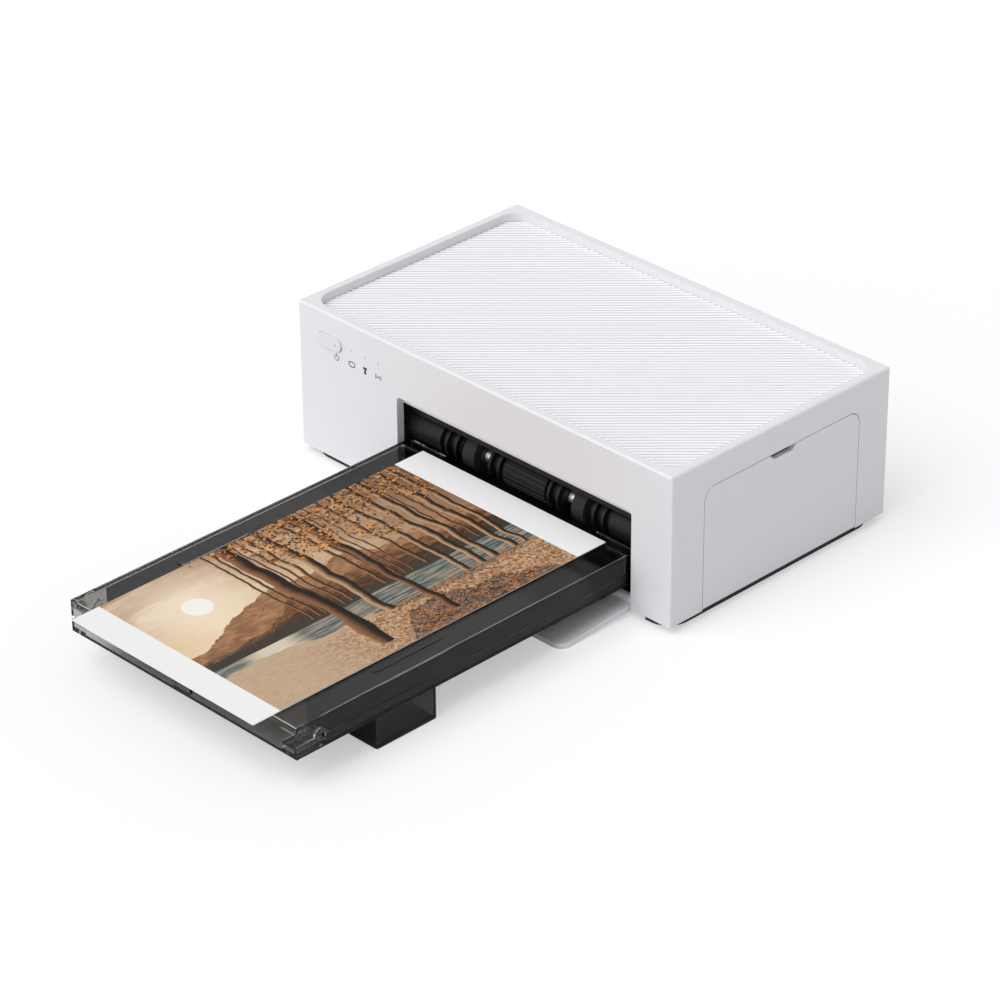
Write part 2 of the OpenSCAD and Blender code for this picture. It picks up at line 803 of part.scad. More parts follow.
module button_board() {
    color("darkgreen") {
        block([button_x - 10, panel_board_y, button_z - 7],
            [lens_x + 2 * lens_pitch + 4, panel_board_y + 1.2, button_z + 4.5]);
        // key switch behind the button
        rod_y(button_x, button_back + button_travel + run_gap, panel_board_y, button_z, 1.4);
    }
    // posts that carry the board
    color("white")
        for (x = [button_x - 8.6, lens_x + 2 * lens_pitch + 2.6])
            rod_y(x, front_wall, panel_board_y, button_z - 5.2, 1.2);
}

module status_lenses() {
    color("white")
        for (i = [0:2])
            rod_y(lens_x + i * lens_pitch, 0, panel_board_y, button_z + 0.3, lens_r - fit_gap);
}

// ---- cassette ----

smoke = [0.25, 0.25, 0.26, 0.7];

module cassette_tray() {
    tab_x = ccx - tab_w / 2;
    bearing_x = cx0 + liner_w + 0.4;
    color(smoke) difference() {
        union() {
            block([cx0, cy0, cassette_z], [cx1, cassette_in, floor_z]);
            both_sides(ccx) {
                // side walls, low under the lid and higher inside the printer
                block([cx0, cy0, cassette_z], [cx0 + cassette_t, cassette_in, seam_z]);
                block([cx0, sleeve_y, cassette_z], [cx0 + cassette_t, cassette_in, inner_wall_z]);
                block([cx0, sleeve_y, cassette_z], [cx0 + cassette_t, sleeve_y1, cz1]);
                block([cx0, sleeve_y, cz1 - cassette_t], [cx0 + rail_w, sleeve_y1, cz1]);
                // thick corner pads and ledges at the front
                block([cx0, cy0, cassette_z], [cx0 + ledge_w, cy0 + liner_y - 1, floor_z + 0.9]);
                block([cx0, cy0, seam_z - ledge_t], [cx0 + ledge_w, cy0 + liner_y - 1, seam_z]);
                // latch bosses that the lid snaps over
                rod(cx0, cx0 + cassette_t + 1.2, latch_at[0], latch_at[1], latch_r);
                // ears that carry the lid's hinge
                rod(cx0 + ear_x, cx0 + ear_x + cassette_t, lid_axis[0], lid_axis[1], ear_r);
                block([cx0 + ear_x, lid_axis[0], seam_z - ledge_t],
                    [cx0 + ear_x + cassette_t, lid_axis[0] + ear_r, lid_axis[1]]);
                // bearings of the lift plate
                block([bearing_x, lift_y0 - 2, floor_z - 0.1],
                    [bearing_x + 2, lift_y0 + 2, lift_axis_z + lift_pin_r + 1]);
            }
            // bridge between the two upper strips inside the printer
            block([cx0, sleeve_y, cz1 - cassette_t], [cx1, sleeve_y + 1.4, cz1]);
            // rear wall
            block([cx0, cassette_in - cassette_t, cassette_z], [cx1, cassette_in, seam_z]);
            // tab at the front
            block([tab_x, cy0, cassette_z], [tab_x + tab_w, cy0 + cassette_t, seam_z]);
        }
        rod(cx0, cx1, lid_axis[0], lid_axis[1], lid_pin_r + fit_gap);
        for (x = [cx0 - 1, cx1 - 0.8]) rod(x, x + 1.8, latch_at[0], latch_at[1], latch_r - 1.2);
        rod(bearing_x - 1, cx1 - liner_w + 1, lift_y0, lift_axis_z, lift_pin_r + run_gap);
    }
}

// Dark rails inside the cassette that guide the paper's edges
module cassette_liner() {
    y0 = cy0 + liner_y;
    y1 = lid_y1 - 1;
    top = cz1 - cassette_t - 0.3;
    x0 = cx0 + cassette_t + 0.3;
    color([0.07, 0.07, 0.07]) both_sides(ccx) difference() {
        block([x0, y0, floor_z], [cx0 + liner_w, y1, top]);
        // channel for the paper's edge
        block([x0 + 1.2, y0 + 1.2, floor_z - 1], [cx0 + liner_w + 1, y1 + 1, top - 1.4]);
    }
}

// Hollow feet that hold the cassette level on the table
module support_feet() {
    y0 = cy0 + support_y;
    r = 1;
    color(smoke) both_sides(ccx) difference() {
        translate([cx1 - support_w, y0, -base_h])
            linear_extrude(cassette_z + base_h) rrect(support_w, support_l, r);
        block([cx1 - support_w + cassette_t, y0 + cassette_t, -base_h + cassette_t],
            [cx1 - cassette_t, y0 + support_l - cassette_t, cassette_z + 1]);
    }
}

// Outline of the lid's side walls, rounded where it would meet the tray as it opens
module lid_side() {
    low = seam_z + lid_gap;
    difference() {
        translate([cy0, low]) square([lid_y1 - cy0, cz1 - low]);
        difference() {
            translate([cy0 - 1, low - 1]) square([lid_hinge + 1, lid_axis[1] - low + 1]);
            translate(lid_axis) circle(lid_axis[1] - seam_z - 0.1);
        }
        translate(latch_at) circle(latch_r + 0.4);
        translate(lid_axis) circle(lid_pin_r + run_gap);
    }
}

module cassette_lid() {
    color(smoke) {
        difference() {
            block([cx0, cy0, cz1 - cassette_t], [cx1, lid_y1, cz1]);
            // window over the paper
            translate([cx0 + rail_w, cy0 + rail_w, cz1 - cassette_t - 1])
                linear_extrude(cassette_t + 2)
                    rrect(cassette_w - 2 * rail_w, cassette_out - 2.2 * rail_w, 3);
        }
        // front lip
        block([cx0, cy0, cz1 - lip_h], [cx1, cy0 + cassette_t, cz1]);
        both_sides(ccx) {
            along_x(cx0, cx0 + cassette_t) lid_side();
            // long shallow grip rib on each rail
            translate([cx0 + rail_w / 2 - 3.5, cy0 + 45.5, cz1 - eps]) linear_extrude(0.25) rrect(4, 35, 2);
        }
    }
}

module lid_pins() {
    color("silver") both_sides(ccx)
        rod(cx0 + 0.1, cx0 + ear_x + cassette_t, lid_axis[0], lid_axis[1], lid_pin_r);
}

module lift_plate() {
    x0 = cx0 + liner_w + 0.7;
    x1 = cx1 - liner_w - 0.7;
    color([0.12, 0.12, 0.12]) {
        difference() {
            block([x0, lift_y0 - 1, lift_axis_z - lift_pin_r],
                [x1, lift_y1, lift_axis_z - lift_pin_r + lift_t]);
            // room for the bearings
            both_sides(ccx)
                block([x0 - 1, lift_y0 - 2.5, lift_axis_z - 2], [x0 + 2, lift_y0 + 2.5, lift_axis_z + 2]);
            for (x = [ccx - 24, ccx, ccx + 24])
                translate([x, lift_y0 + lift_l / 2, 0]) cylinder(r = 5, h = cz1);
        }
        rod(x0, x1, lift_y0, lift_axis_z, lift_pin_r);
    }
}

module friction_pad() {
    top = lift_axis_z - lift_pin_r + lift_t;
    color("peru") block([ccx - 15, lift_y1 - 22, top], [ccx + 15, lift_y1 - 10, top + 0.5]);
}

module print_sheet() {
    low = cz1 + 0.3;
    color("tan")
        block([ccx - sheet_w / 2, sheet_y0, low], [ccx + sheet_w / 2, sheet_y0 + sheet_l, low + sheet_t]);
}

// ---- feed guide and portal ----

// Black frame just inside the opening
module front_frame() {
    color([0.09, 0.09, 0.09]) difference() {
        block([portal_x0, portal_y0, boss_w + clear], [portal_x1, portal_y1, lip_z + portal_t]);
        block([portal_x0 + portal_t, portal_y0 - 1, 1], [portal_x1 - portal_t, portal_y1 + 1, lip_z]);
        rod(portal_x0 - 1, portal_x1 + 1, feed_y, feed_z, bush_r + 0.3);
    }
}

// One stretch of the guide's drum
module drum(x0, x1, r) {
    rod(x0, x1, feed_y, feed_z, r);
}

// Finned and fluted guide with the feed shaft running through it
module feed_guide() {
    x0 = portal_x0 + portal_t;
    x1 = portal_x1 - portal_t;
    color([0.13, 0.13, 0.13]) difference() {
        union() {
            // cross bar with a rear wall
            along_x(x0, x1) polygon([
                [feed_y - 6, bar_z0 + 1.2], [feed_y - 4.8, bar_z0], [portal_y1 - 3.4, bar_z0],
                [portal_y1 - 3.4, feed_z - 4], [portal_y1 - 1.8, feed_z - 4],
                [portal_y1 - 1.8, bar_z0 + bar_h], [feed_y - 4, bar_z0 + bar_h],
                [feed_y - 6, bar_z0 + bar_h - 2]
            ]);
            drum(x0, x1, guide_core_r);
            both_sides(open_cx) {
                drum(x0, open_cx - ring_places[3] - ring_w - 2.2, guide_r);
                for (d = ring_places) drum(open_cx - d - ring_w / 2, open_cx - d + ring_w / 2, ring_r);
            }
            // fluted middle
            translate([0, feed_y, feed_z]) along_x(open_cx - flute_half, open_cx + flute_half) difference() {
                circle(guide_r);
                for (a = [0:flute_step:359]) rotate(a) translate([guide_r, 0]) circle(flute_r);
            }
        }
        // windows for the rollers, with an arch in the bar above each
        both_sides(open_cx)
            translate([0, feed_y, feed_z]) along_x(open_cx - window_out, open_cx - window_in) {
                circle(feed_r + 1.1);
                translate([-feed_r - 1.1, -feed_r - 2]) square([2 * feed_r + 2.2, feed_r + 2]);
            }
        // bore for the shaft
        rod(x0 - 1, x1 + 1, feed_y, feed_z, feed_shaft_r + 0.6);
    }
}

module feed_shaft() {
    color("silver") difference() {
        rod(gear_x0 - 0.5, right_frame_x + frame_t + 2.5, feed_y, feed_z, feed_shaft_r);
        // groove for a retaining ring
        pipe(right_frame_x + frame_t + 1.2, right_frame_x + frame_t + 1.9, feed_y, feed_z,
            feed_shaft_r + 1, feed_shaft_r - 0.5);
    }
}

hub_r = 5.2;

module feed_hubs() {
    x0 = open_cx - roller_dx - tyre_w / 2;
    color([0.25, 0.25, 0.25]) both_sides(open_cx) difference() {
        union() {
            rod(x0, x0 + tyre_w, feed_y, feed_z, hub_r);
            rod(x0 - 1.4, x0 + tyre_w + 1.4, feed_y, feed_z, 3.6);
        }
        rod(0, open_cx, feed_y, feed_z, feed_shaft_r + fit_gap);
    }
}

module feed_tyres() {
    x0 = open_cx - roller_dx - tyre_w / 2;
    color([0.16, 0.16, 0.17]) both_sides(open_cx)
        pipe(x0, x0 + tyre_w, feed_y, feed_z, feed_r, hub_r + fit_gap);
}

// ---- chassis and drive ----

// Outline of a side frame with its shaft holes, in Y and Z
module frame_outline() {
    difference() {
        union() {
            translate([frame_y0, base_top]) square([frame_y1 - frame_y0, frame_z1 - 12 - base_top]);
            translate([frame_y0 + 20, base_top]) square([frame_y1 - frame_y0 - 20, frame_z1 - base_top]);
        }
        translate([feed_y, feed_z]) circle(bush_r);
        translate(platen_at) circle(bush_r);
        translate(capstan_at) circle(bush_r - 0.6);
        translate([capstan_at[0], pinch_z]) circle(2.2);
        translate([head_pivot[1], head_pivot[2]]) circle(head_shaft_r + fit_gap);
    }
}

module chassis_foot(x0, x1) {
    block([x0, frame_y0 + 20, base_top], [x1, frame_y0 + 32, base_top + frame_t]);
    block([x0, frame_y1 - 14, base_top], [x1, frame_y1 - 2, base_top + frame_t]);
}

module left_chassis() {
    color("lightsteelblue") difference() {
        union() {
            along_x(left_frame_x, left_frame_x + frame_t) frame_outline();
            chassis_foot(left_frame_x - frame_foot, left_frame_x + frame_t);
        }
        // hubs of the ribbon spools
        for (y = [supply_y, takeup_y]) rod(left_frame_x - 1, left_frame_x + 3, y, spool_z, 3);
        // arbor of the idler gear
        rod(left_frame_x - 1, left_frame_x + 3, idler_at[0], idler_at[1], arbor_r + fit_gap);
    }
}

module right_chassis() {
    color("lightsteelblue") difference() {
        union() {
            along_x(right_frame_x, right_frame_x + frame_t) frame_outline();
            chassis_foot(right_frame_x, right_frame_x + frame_foot);
        }
        // the cartridge goes in through here
        translate([0, supply_y - case_r - 1, spool_z - case_r - 1])
            along_x(right_frame_x - 1, right_frame_x + 3)
                rrect(2 * (spool_dy + case_r + 1), 2 * case_r + 2, 3);
    }
}

module chassis_ties() {
    color("silver")
        for (at = [[portal_y1 + 4, 6], [frame_y1 - 6, 8], [frame_y1 - 3, spool_z]])
            rod(left_frame_x + frame_t, right_frame_x, at[0], at[1], 1.8);
}

// Flanged bushes, pushed into the frames from outside
module shaft_bushes() {
    color("goldenrod") {
        for (side = [0, 1]) {
            x = side == 0 ? left_frame_x : right_frame_x;
            flange = side == 0 ? x - bush_flange : x + frame_t;
            for (at = [
                [feed_y, feed_z, bush_r, feed_shaft_r],
                [platen_at[0], platen_at[1], bush_r, platen_shaft_r],
                [capstan_at[0], capstan_at[1], bush_r - 0.6, 2],
                [capstan_at[0], pinch_z, 2.2, 1.2]
            ])
                difference() {
                    union() {
                        rod(x, x + frame_t, at[0], at[1], at[2]);
                        rod(flange, flange + bush_flange, at[0], at[1], at[2] + 0.7);
                    }
                    rod(x - 3, x + frame_t + 3, at[0], at[1], at[3] + run_gap);
                }
        }
    }
}

// Plate that carries the motors, on posts from the left side frame
module gear_plate() {
    posts = [[frame_y0 + 3, 6], [frame_y0 + 3, 42], [platen_at[0] + 4, 8], [platen_at[0] + 2, 50],
        [frame_y1 - 4, 8], [capstan_at[0] - 9, 53]];
    color("lightsteelblue") {
        difference() {
            along_x(gear_plate_x, gear_plate_x + frame_t) polygon([
                [frame_y0, 3], [frame_y1, 3], [frame_y1, frame_z1 - 2], [frame_y0 + 24, frame_z1 - 2],
                [frame_y0, frame_z1 - 12]
            ]);
            for (at = [pinion_at, cap_pinion_at])
                rod(gear_plate_x - 1, gear_plate_x + 3, at[0], at[1], 3.2);
            rod(gear_plate_x - 1, gear_plate_x + 3, idler_at[0], idler_at[1], arbor_r + fit_gap);
        }
        for (at = posts) rod(gear_plate_x + frame_t, left_frame_x, at[0], at[1], 2);
    }
}

module motor(at) {
    color("gray") {
        difference() {
            rod(motor_x0, motor_x1, at[0], at[1], motor_r);
            for (side = [-1, 1])
                block([motor_x0 - 1, at[0] + side * motor_r - 2, at[1] - motor_r],
                    [motor_x1 - 2, at[0] + side * motor_r + 2, at[1] + motor_r]);
        }
        // bearing collar in the plate's hole
        rod(motor_x1, motor_x1 + frame_t, at[0], at[1], 3);
        rod(motor_x0 - 2, motor_x0, at[0], at[1], 3);
    }
}

module feed_motor() {
    motor(pinion_at);
}

module capstan_motor() {
    motor(cap_pinion_at);
}

module feed_gear() {
    color("ivory") gear(feed_n, [feed_y, feed_z], feed_turn, gear_x0, gear_x1, feed_shaft_r + fit_gap);
}

module idler_gear() {
    color("ivory") {
        gear(idler_n, idler_at, idler_turn, gear_x0, gear_x1, arbor_r - run_gap - 0.3);
    }
    // arbor that turns in the two plates
    color("silver")
        rod(gear_plate_x + 0.1, left_frame_x + frame_t - 0.1, idler_at[0], idler_at[1], arbor_r - run_gap);
}

module pinion(at, turn) {
    color("goldenrod") {
        gear(pinion_n, at, turn, gear_x0, gear_x1, 1);
        rod(motor_x1 + frame_t + clear, gear_x1 - 1, at[0], at[1], 1 + eps);
    }
}

module feed_pinion() {
    pinion(pinion_at, pinion_turn);
}

module capstan_pinion() {
    pinion(cap_pinion_at, cap_pinion_turn);
}

// ---- print engine ----

module platen_shaft() {
    color("silver")
        rod(left_frame_x - 3, right_frame_x + frame_t + 3, platen_at[0], platen_at[1], platen_shaft_r);
}

module platen_rubber() {
    color([0.15, 0.15, 0.15])
        pipe(open_cx - platen_l / 2, open_cx + platen_l / 2, platen_at[0], platen_at[1],
            platen_r, platen_shaft_r + fit_gap);
}

module capstan_roller() {
    x0 = portal_x0 + 6;
    x1 = portal_x1 - 6;
    color("silver") {
        rod(gear_x0 - 0.5, right_frame_x + frame_t + 3, capstan_at[0], capstan_at[1], 2);
        rod(x0, x1, capstan_at[0], capstan_at[1], capstan_r);
    }
}

module capstan_gear() {
    color("ivory") gear(capstan_n, capstan_at, 0, gear_x0, gear_x1, 2 + fit_gap);
}

module pinch_roller() {
    color("gray") {
        rod(left_frame_x - bush_flange - clear, right_frame_x + frame_t + 2, capstan_at[0], pinch_z, 1.2);
        rod(portal_x0 + 6, portal_x1 - 6, capstan_at[0], pinch_z, pinch_r);
    }
}

// Lower paper guide, with a ramp at the front and windows for the rollers
module paper_deck() {
    x0 = left_frame_x + frame_t;
    x1 = right_frame_x;
    ramp_y = portal_y1 + 2;
    y1 = frame_y1;
    color([0.18, 0.18, 0.18]) difference() {
        union() {
            along_x(x0, x1) polygon([
                [ramp_y, floor_z + 7], [ramp_y + 8, deck_z], [y1, deck_z], [y1, deck_z + deck_t],
                [ramp_y + 7.4, deck_z + deck_t], [ramp_y, floor_z + 9]
            ]);
            // side webs that screw to the frames
            for (x = [x0, x1 - 1.6])
                block([x, ramp_y + 9, deck_z - 6], [x + 1.6, y1, deck_z + deck_t]);
        }
        // windows for the rollers
        for (at = [[platen_at[0], platen_r + 1], [capstan_at[0], capstan_r + 1]])
            block([x0 + 4, at[0] - at[1], deck_z - 1], [x1 - 4, at[0] + at[1], path_z + 1]);
        rod(x0 - 1, x1 + 1, platen_at[0], platen_at[1], platen_shaft_r + 1);
        rod(x0 - 1, x1 + 1, capstan_at[0], capstan_at[1], capstan_r);
    }
}

// Rests on the deck that carry the cartridge
module cartridge_rests() {
    color([0.18, 0.18, 0.18])
        for (x = [case_x0, case_x1 - case_end], y = [supply_y, takeup_y])
            block([x, y - 3, deck_z + deck_t], [x + case_end, y + 3, spool_z - case_r]);
}

module spool_ring(y, r) {
    translate([y, spool_z]) circle(r);
}

// Cartridge with a housing round each spool, open below where the ribbon leaves
module cartridge_case() {
    inner = case_r - case_t;
    color([0.75, 0.77, 0.8]) difference() {
        union() {
            // end plates
            for (x = [case_x0, case_x1 - case_end])
                along_x(x, x + case_end) {
                    spool_ring(supply_y, case_r);
                    spool_ring(takeup_y, case_r);
                    translate([supply_y, spool_z + 1]) square([2 * spool_dy, case_r - 1]);
                }
            along_x(case_x0, case_x1) {
                spool_ring(supply_y, case_r);
                spool_ring(takeup_y, case_r);
            }
            // pull tab behind the side door, with a turned down end
            block([case_x1 - eps, platen_at[0] - grip_w / 2, grip_z - grip_t],
                [grip_x1, platen_at[0] + grip_w / 2, grip_z]);
            block([grip_x1 - grip_t, platen_at[0] - grip_w / 2, grip_z - grip_drop],
                [grip_x1, platen_at[0] + grip_w / 2, grip_z]);
        }
        // room for the spools
        along_x(case_x0 + case_end, case_x1 - case_end) {
            spool_ring(supply_y, inner);
            spool_ring(takeup_y, inner);
            translate([supply_y + 1, spool_z - case_r - 1]) square([case_r, case_r - 3]);
            translate([takeup_y - case_r - 1, spool_z - case_r - 1]) square([case_r, case_r - 3]);
        }
        // bearings of the spools
        for (y = [supply_y, takeup_y])
            rod(case_x0 - 1, case_x1 + 1, y, spool_z, 2.5 + run_gap);
    }
}

module ribbon_film() {
    // the ribbon runs from the supply spool, under the head, to the take-up spool
    w = case_x1 - case_x0 - 2 * case_end - 3;
    low = head_l / 2 + 1.6;
    rise = spool_dy - 4;
    top = spool_z - supply_r - 0.5;
    color([0.75, 0.6, 0.1])
        translate([case_x0 + case_end + 1.5, platen_at[0], 0]) along_x(0, w) polygon([
            [-low, film_z], [low, film_z], [rise, top], [rise, top + film_t],
            [low - 0.1, film_z + film_t], [0.1 - low, film_z + film_t], [-rise, top + film_t], [-rise, top]
        ]);
}

module spool(y) {
    x0 = case_x0 + case_end + 0.4;
    x1 = case_x1 - case_end - 0.4;
    color("white") {
        rod(x0, x1, y, spool_z, core_r);
        // journals, the left one reaches the drive side
        rod(left_frame_x - bush_flange, x0, y, spool_z, 2.5);
        rod(x1, case_x1 + 1, y, spool_z, 2.5);
        // flange at the drive end
        rod(x0, x0 + 1, y, spool_z, core_r + 3);
    }
}

module wound_ribbon(y, r) {
    pipe(case_x0 + case_end + 1.6, case_x1 - case_end - 0.6, y, spool_z, r, core_r + fit_gap);
}

module supply_spool() {
    spool(supply_y);
}

module supply_ribbon() {
    color([0.8, 0.65, 0.1]) wound_ribbon(supply_y, supply_r);
}

module takeup_spool() {
    spool(takeup_y);
}

module takeup_ribbon() {
    color([0.4, 0.2, 0.35]) wound_ribbon(takeup_y, takeup_r);
}

module head_arm() {
    x0 = portal_x0 + 3;
    x1 = portal_x1 - 3;
    y0 = platen_at[0] - arm_reach;
    color("lightsteelblue") difference() {
        union() {
            block([x0, y0, arm_z], [x1, head_pivot[1] - 4, arm_z + arm_t]);
            for (x = [x0, x1 - arm_t]) {
                block([x, head_pivot[1] - 8, head_pivot[2] - 3], [x + arm_t, head_pivot[1], arm_z + arm_t]);
                rod(x, x + arm_t, head_pivot[1], head_pivot[2], 4);
            }
        }
        // weight saving holes
        for (x = [x0 + 20:22:x1 - 20])
            translate([x, takeup_y + 1, arm_z - 1]) cylinder(r = 6, h = arm_t + 2);
        rod(x0 - 1, x1 + 1, head_pivot[1], head_pivot[2], head_shaft_r + run_gap);
    }
}

module head_shaft() {
    color("silver") rod(left_frame_x, right_frame_x + frame_t, head_pivot[1], head_pivot[2], head_shaft_r);
}

module heat_sink() {
    x0 = case_x0 + 5;
    x1 = case_x1 - 5;
    y0 = platen_at[0] - head_l / 2;
    color("silver") {
        block([x0, y0, head_z + head_bar_h], [x1, y0 + head_l, head_z + head_bar_h + 4]);
        for (i = [0:3])
            translate([0, i * (head_l - 1.6) / 3, 0])
                block([x0, y0, head_z + head_bar_h + 3], [x1, y0 + 1.6, arm_z]);
    }
}

module thermal_head() {
    x0 = open_cx - platen_l / 2;
    x1 = open_cx + platen_l / 2;
    color([0.35, 0.3, 0.25]) {
        block([x0, platen_at[0] - 5, head_z], [x1, platen_at[0] + 5, head_z + head_bar_h]);
    }
}

// ---- boards, sockets and screws ----

module main_board() {
    color("darkgreen")
        block([board_x0, board_y0, board_z], [board_x1, board_y1, board_z + board_t]);
}

module board_parts() {
    low = board_z + board_t;
    plug_at = [board_x1 - part_gap - plug[0], board_y0 + part_gap, low];
    chip_at = [plug_at[0] + plug[0] - chip[0], plug_at[1] + plug[1] + 2 * part_gap, low];
    driver_at = [board_x0 + part_gap, chip_at[1], low];
    color([0.12, 0.12, 0.12]) {
        block(plug_at, plug_at + plug);
        block(chip_at, chip_at + chip);
        block(driver_at, driver_at + driver);
        for (i = [0, 1])
            translate(plug_at + [-part_gap - can_r, can_r + i * (2 * can_r + part_gap), 0])
                cylinder(r = can_r, h = can_h);
        translate(driver_at + [coil_r, driver[1] + part_gap + coil_r, 0]) cylinder(r = coil_r, h = coil_h);
    }
}

module power_socket() {
    low = board_z + board_t;
    mid = low + power_box / 2;
    y1 = body_d - wall;
    color([0.1, 0.1, 0.1]) difference() {
        block([power_x - power_box / 2, y1 - power_l - 4, low],
            [power_x + power_box / 2, y1, low + power_box]);
        rod_y(power_x, y1 - power_l, y1 + 1, mid, power_r);
    }
    color("silver") rod_y(power_x, y1 - power_l - 1, y1 - 1, mid, 0.8);
}

// Outline of the data socket, grown by a gap all round
module data_outline(grow) {
    rrect(data_w + 2 * grow, data_h + 1.4 + 2 * grow, data_h / 2 + 0.6 + grow);
}

module data_socket() {
    low = board_z + board_t;
    y1 = body_d - wall;
    color("silver") translate([data_x - data_w / 2, 0, low]) difference() {
        along_y(y1 - 8, y1 + 1) data_outline(0);
        translate([0.5, 0, 0.5]) along_y(y1 - 7, y1 + 2) rrect(data_w - 1, data_h + 0.4, data_h / 2 + 0.1);
    }
    color([0.1, 0.1, 0.1])
        block([data_x - data_w / 2 + 1.6, y1 - 7.2, low + data_h / 2 + 0.4],
            [data_x + data_w / 2 - 1.6, y1 - 1, low + data_h / 2 + 1.1]);
}

// Screws through the base plate into the housing's corners
module case_screws() {
    color("silver")
        for (at = corners) translate([at[0], at[1], base_z]) {
            translate([0, 0, 0.1]) cylinder(r = 2.6, h = 0.7);
            translate([0, 0, 0.7]) cylinder(r = screw_r, h = screw_top - base_z - 0.7);
        }
}

place() {
    housing();
    top_panel();
    base_plate();
    rubber_feet();
    front_frame();
    feed_guide();
    left_chassis();
    right_chassis();
    chassis_ties();
    shaft_bushes();
    gear_plate();
    feed_motor();
    capstan_motor();
    main_board();
    board_parts();
    power_socket();
    data_socket();
    button_board();
    status_lenses();
    door_catch();
    paper_deck();
    cartridge_rests();
    cartridge_case();
    ribbon_film();
    case_screws();
    power_button();
    button_lens();
    front_flap();
    flap_pins();
    side_door();
    door_pins();
    cassette_tray();
    cassette_liner();
    support_feet();
    cassette_lid();
    lid_pins();
    lift_plate();
    friction_pad();
    print_sheet();
    feed_shaft();
    feed_hubs();
    feed_tyres();
    feed_gear();
    idler_gear();
    feed_pinion();
    platen_shaft();
    platen_rubber();
    capstan_roller();
    capstan_gear();
    capstan_pinion();
    pinch_roller();
    supply_spool();
    supply_ribbon();
    takeup_spool();
    takeup_ribbon();
    head_arm();
    head_shaft();
    heat_sink();
    thermal_head();
}
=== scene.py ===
"""Looks for a compact photo printer with a smoke-tinted paper cassette."""
import math

import bmesh
import bpy
from mathutils import Matrix, Vector

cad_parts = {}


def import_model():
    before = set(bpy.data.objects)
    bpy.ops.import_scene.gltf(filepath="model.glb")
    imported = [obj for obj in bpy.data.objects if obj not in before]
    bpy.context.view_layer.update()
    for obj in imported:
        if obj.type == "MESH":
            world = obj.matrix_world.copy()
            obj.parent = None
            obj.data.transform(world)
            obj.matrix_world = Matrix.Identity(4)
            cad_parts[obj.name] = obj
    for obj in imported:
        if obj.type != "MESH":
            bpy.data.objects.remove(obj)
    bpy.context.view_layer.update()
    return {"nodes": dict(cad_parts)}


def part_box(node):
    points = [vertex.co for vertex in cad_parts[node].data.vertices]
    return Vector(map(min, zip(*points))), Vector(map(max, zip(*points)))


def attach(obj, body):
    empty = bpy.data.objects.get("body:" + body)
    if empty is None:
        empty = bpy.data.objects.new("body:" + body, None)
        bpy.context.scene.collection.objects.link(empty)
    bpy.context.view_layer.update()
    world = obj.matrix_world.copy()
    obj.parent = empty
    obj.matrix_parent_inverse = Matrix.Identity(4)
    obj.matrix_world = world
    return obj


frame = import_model()
NODES = frame["nodes"]

MM = 0.001
HOUSING_LOW, HOUSING_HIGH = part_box("housing")
HOUSING_H = 66.0 * MM
# The left front corner of the housing, at the top of its black base
CORNER = Vector((HOUSING_LOW.x, HOUSING_LOW.y, HOUSING_HIGH.z - HOUSING_H))


def at(x, y, z):
    """A point given in millimetres from the housing's corner, in metres in the row frame."""
    return CORNER + Vector((x, y, z)) * MM


# ---- node graphs ----

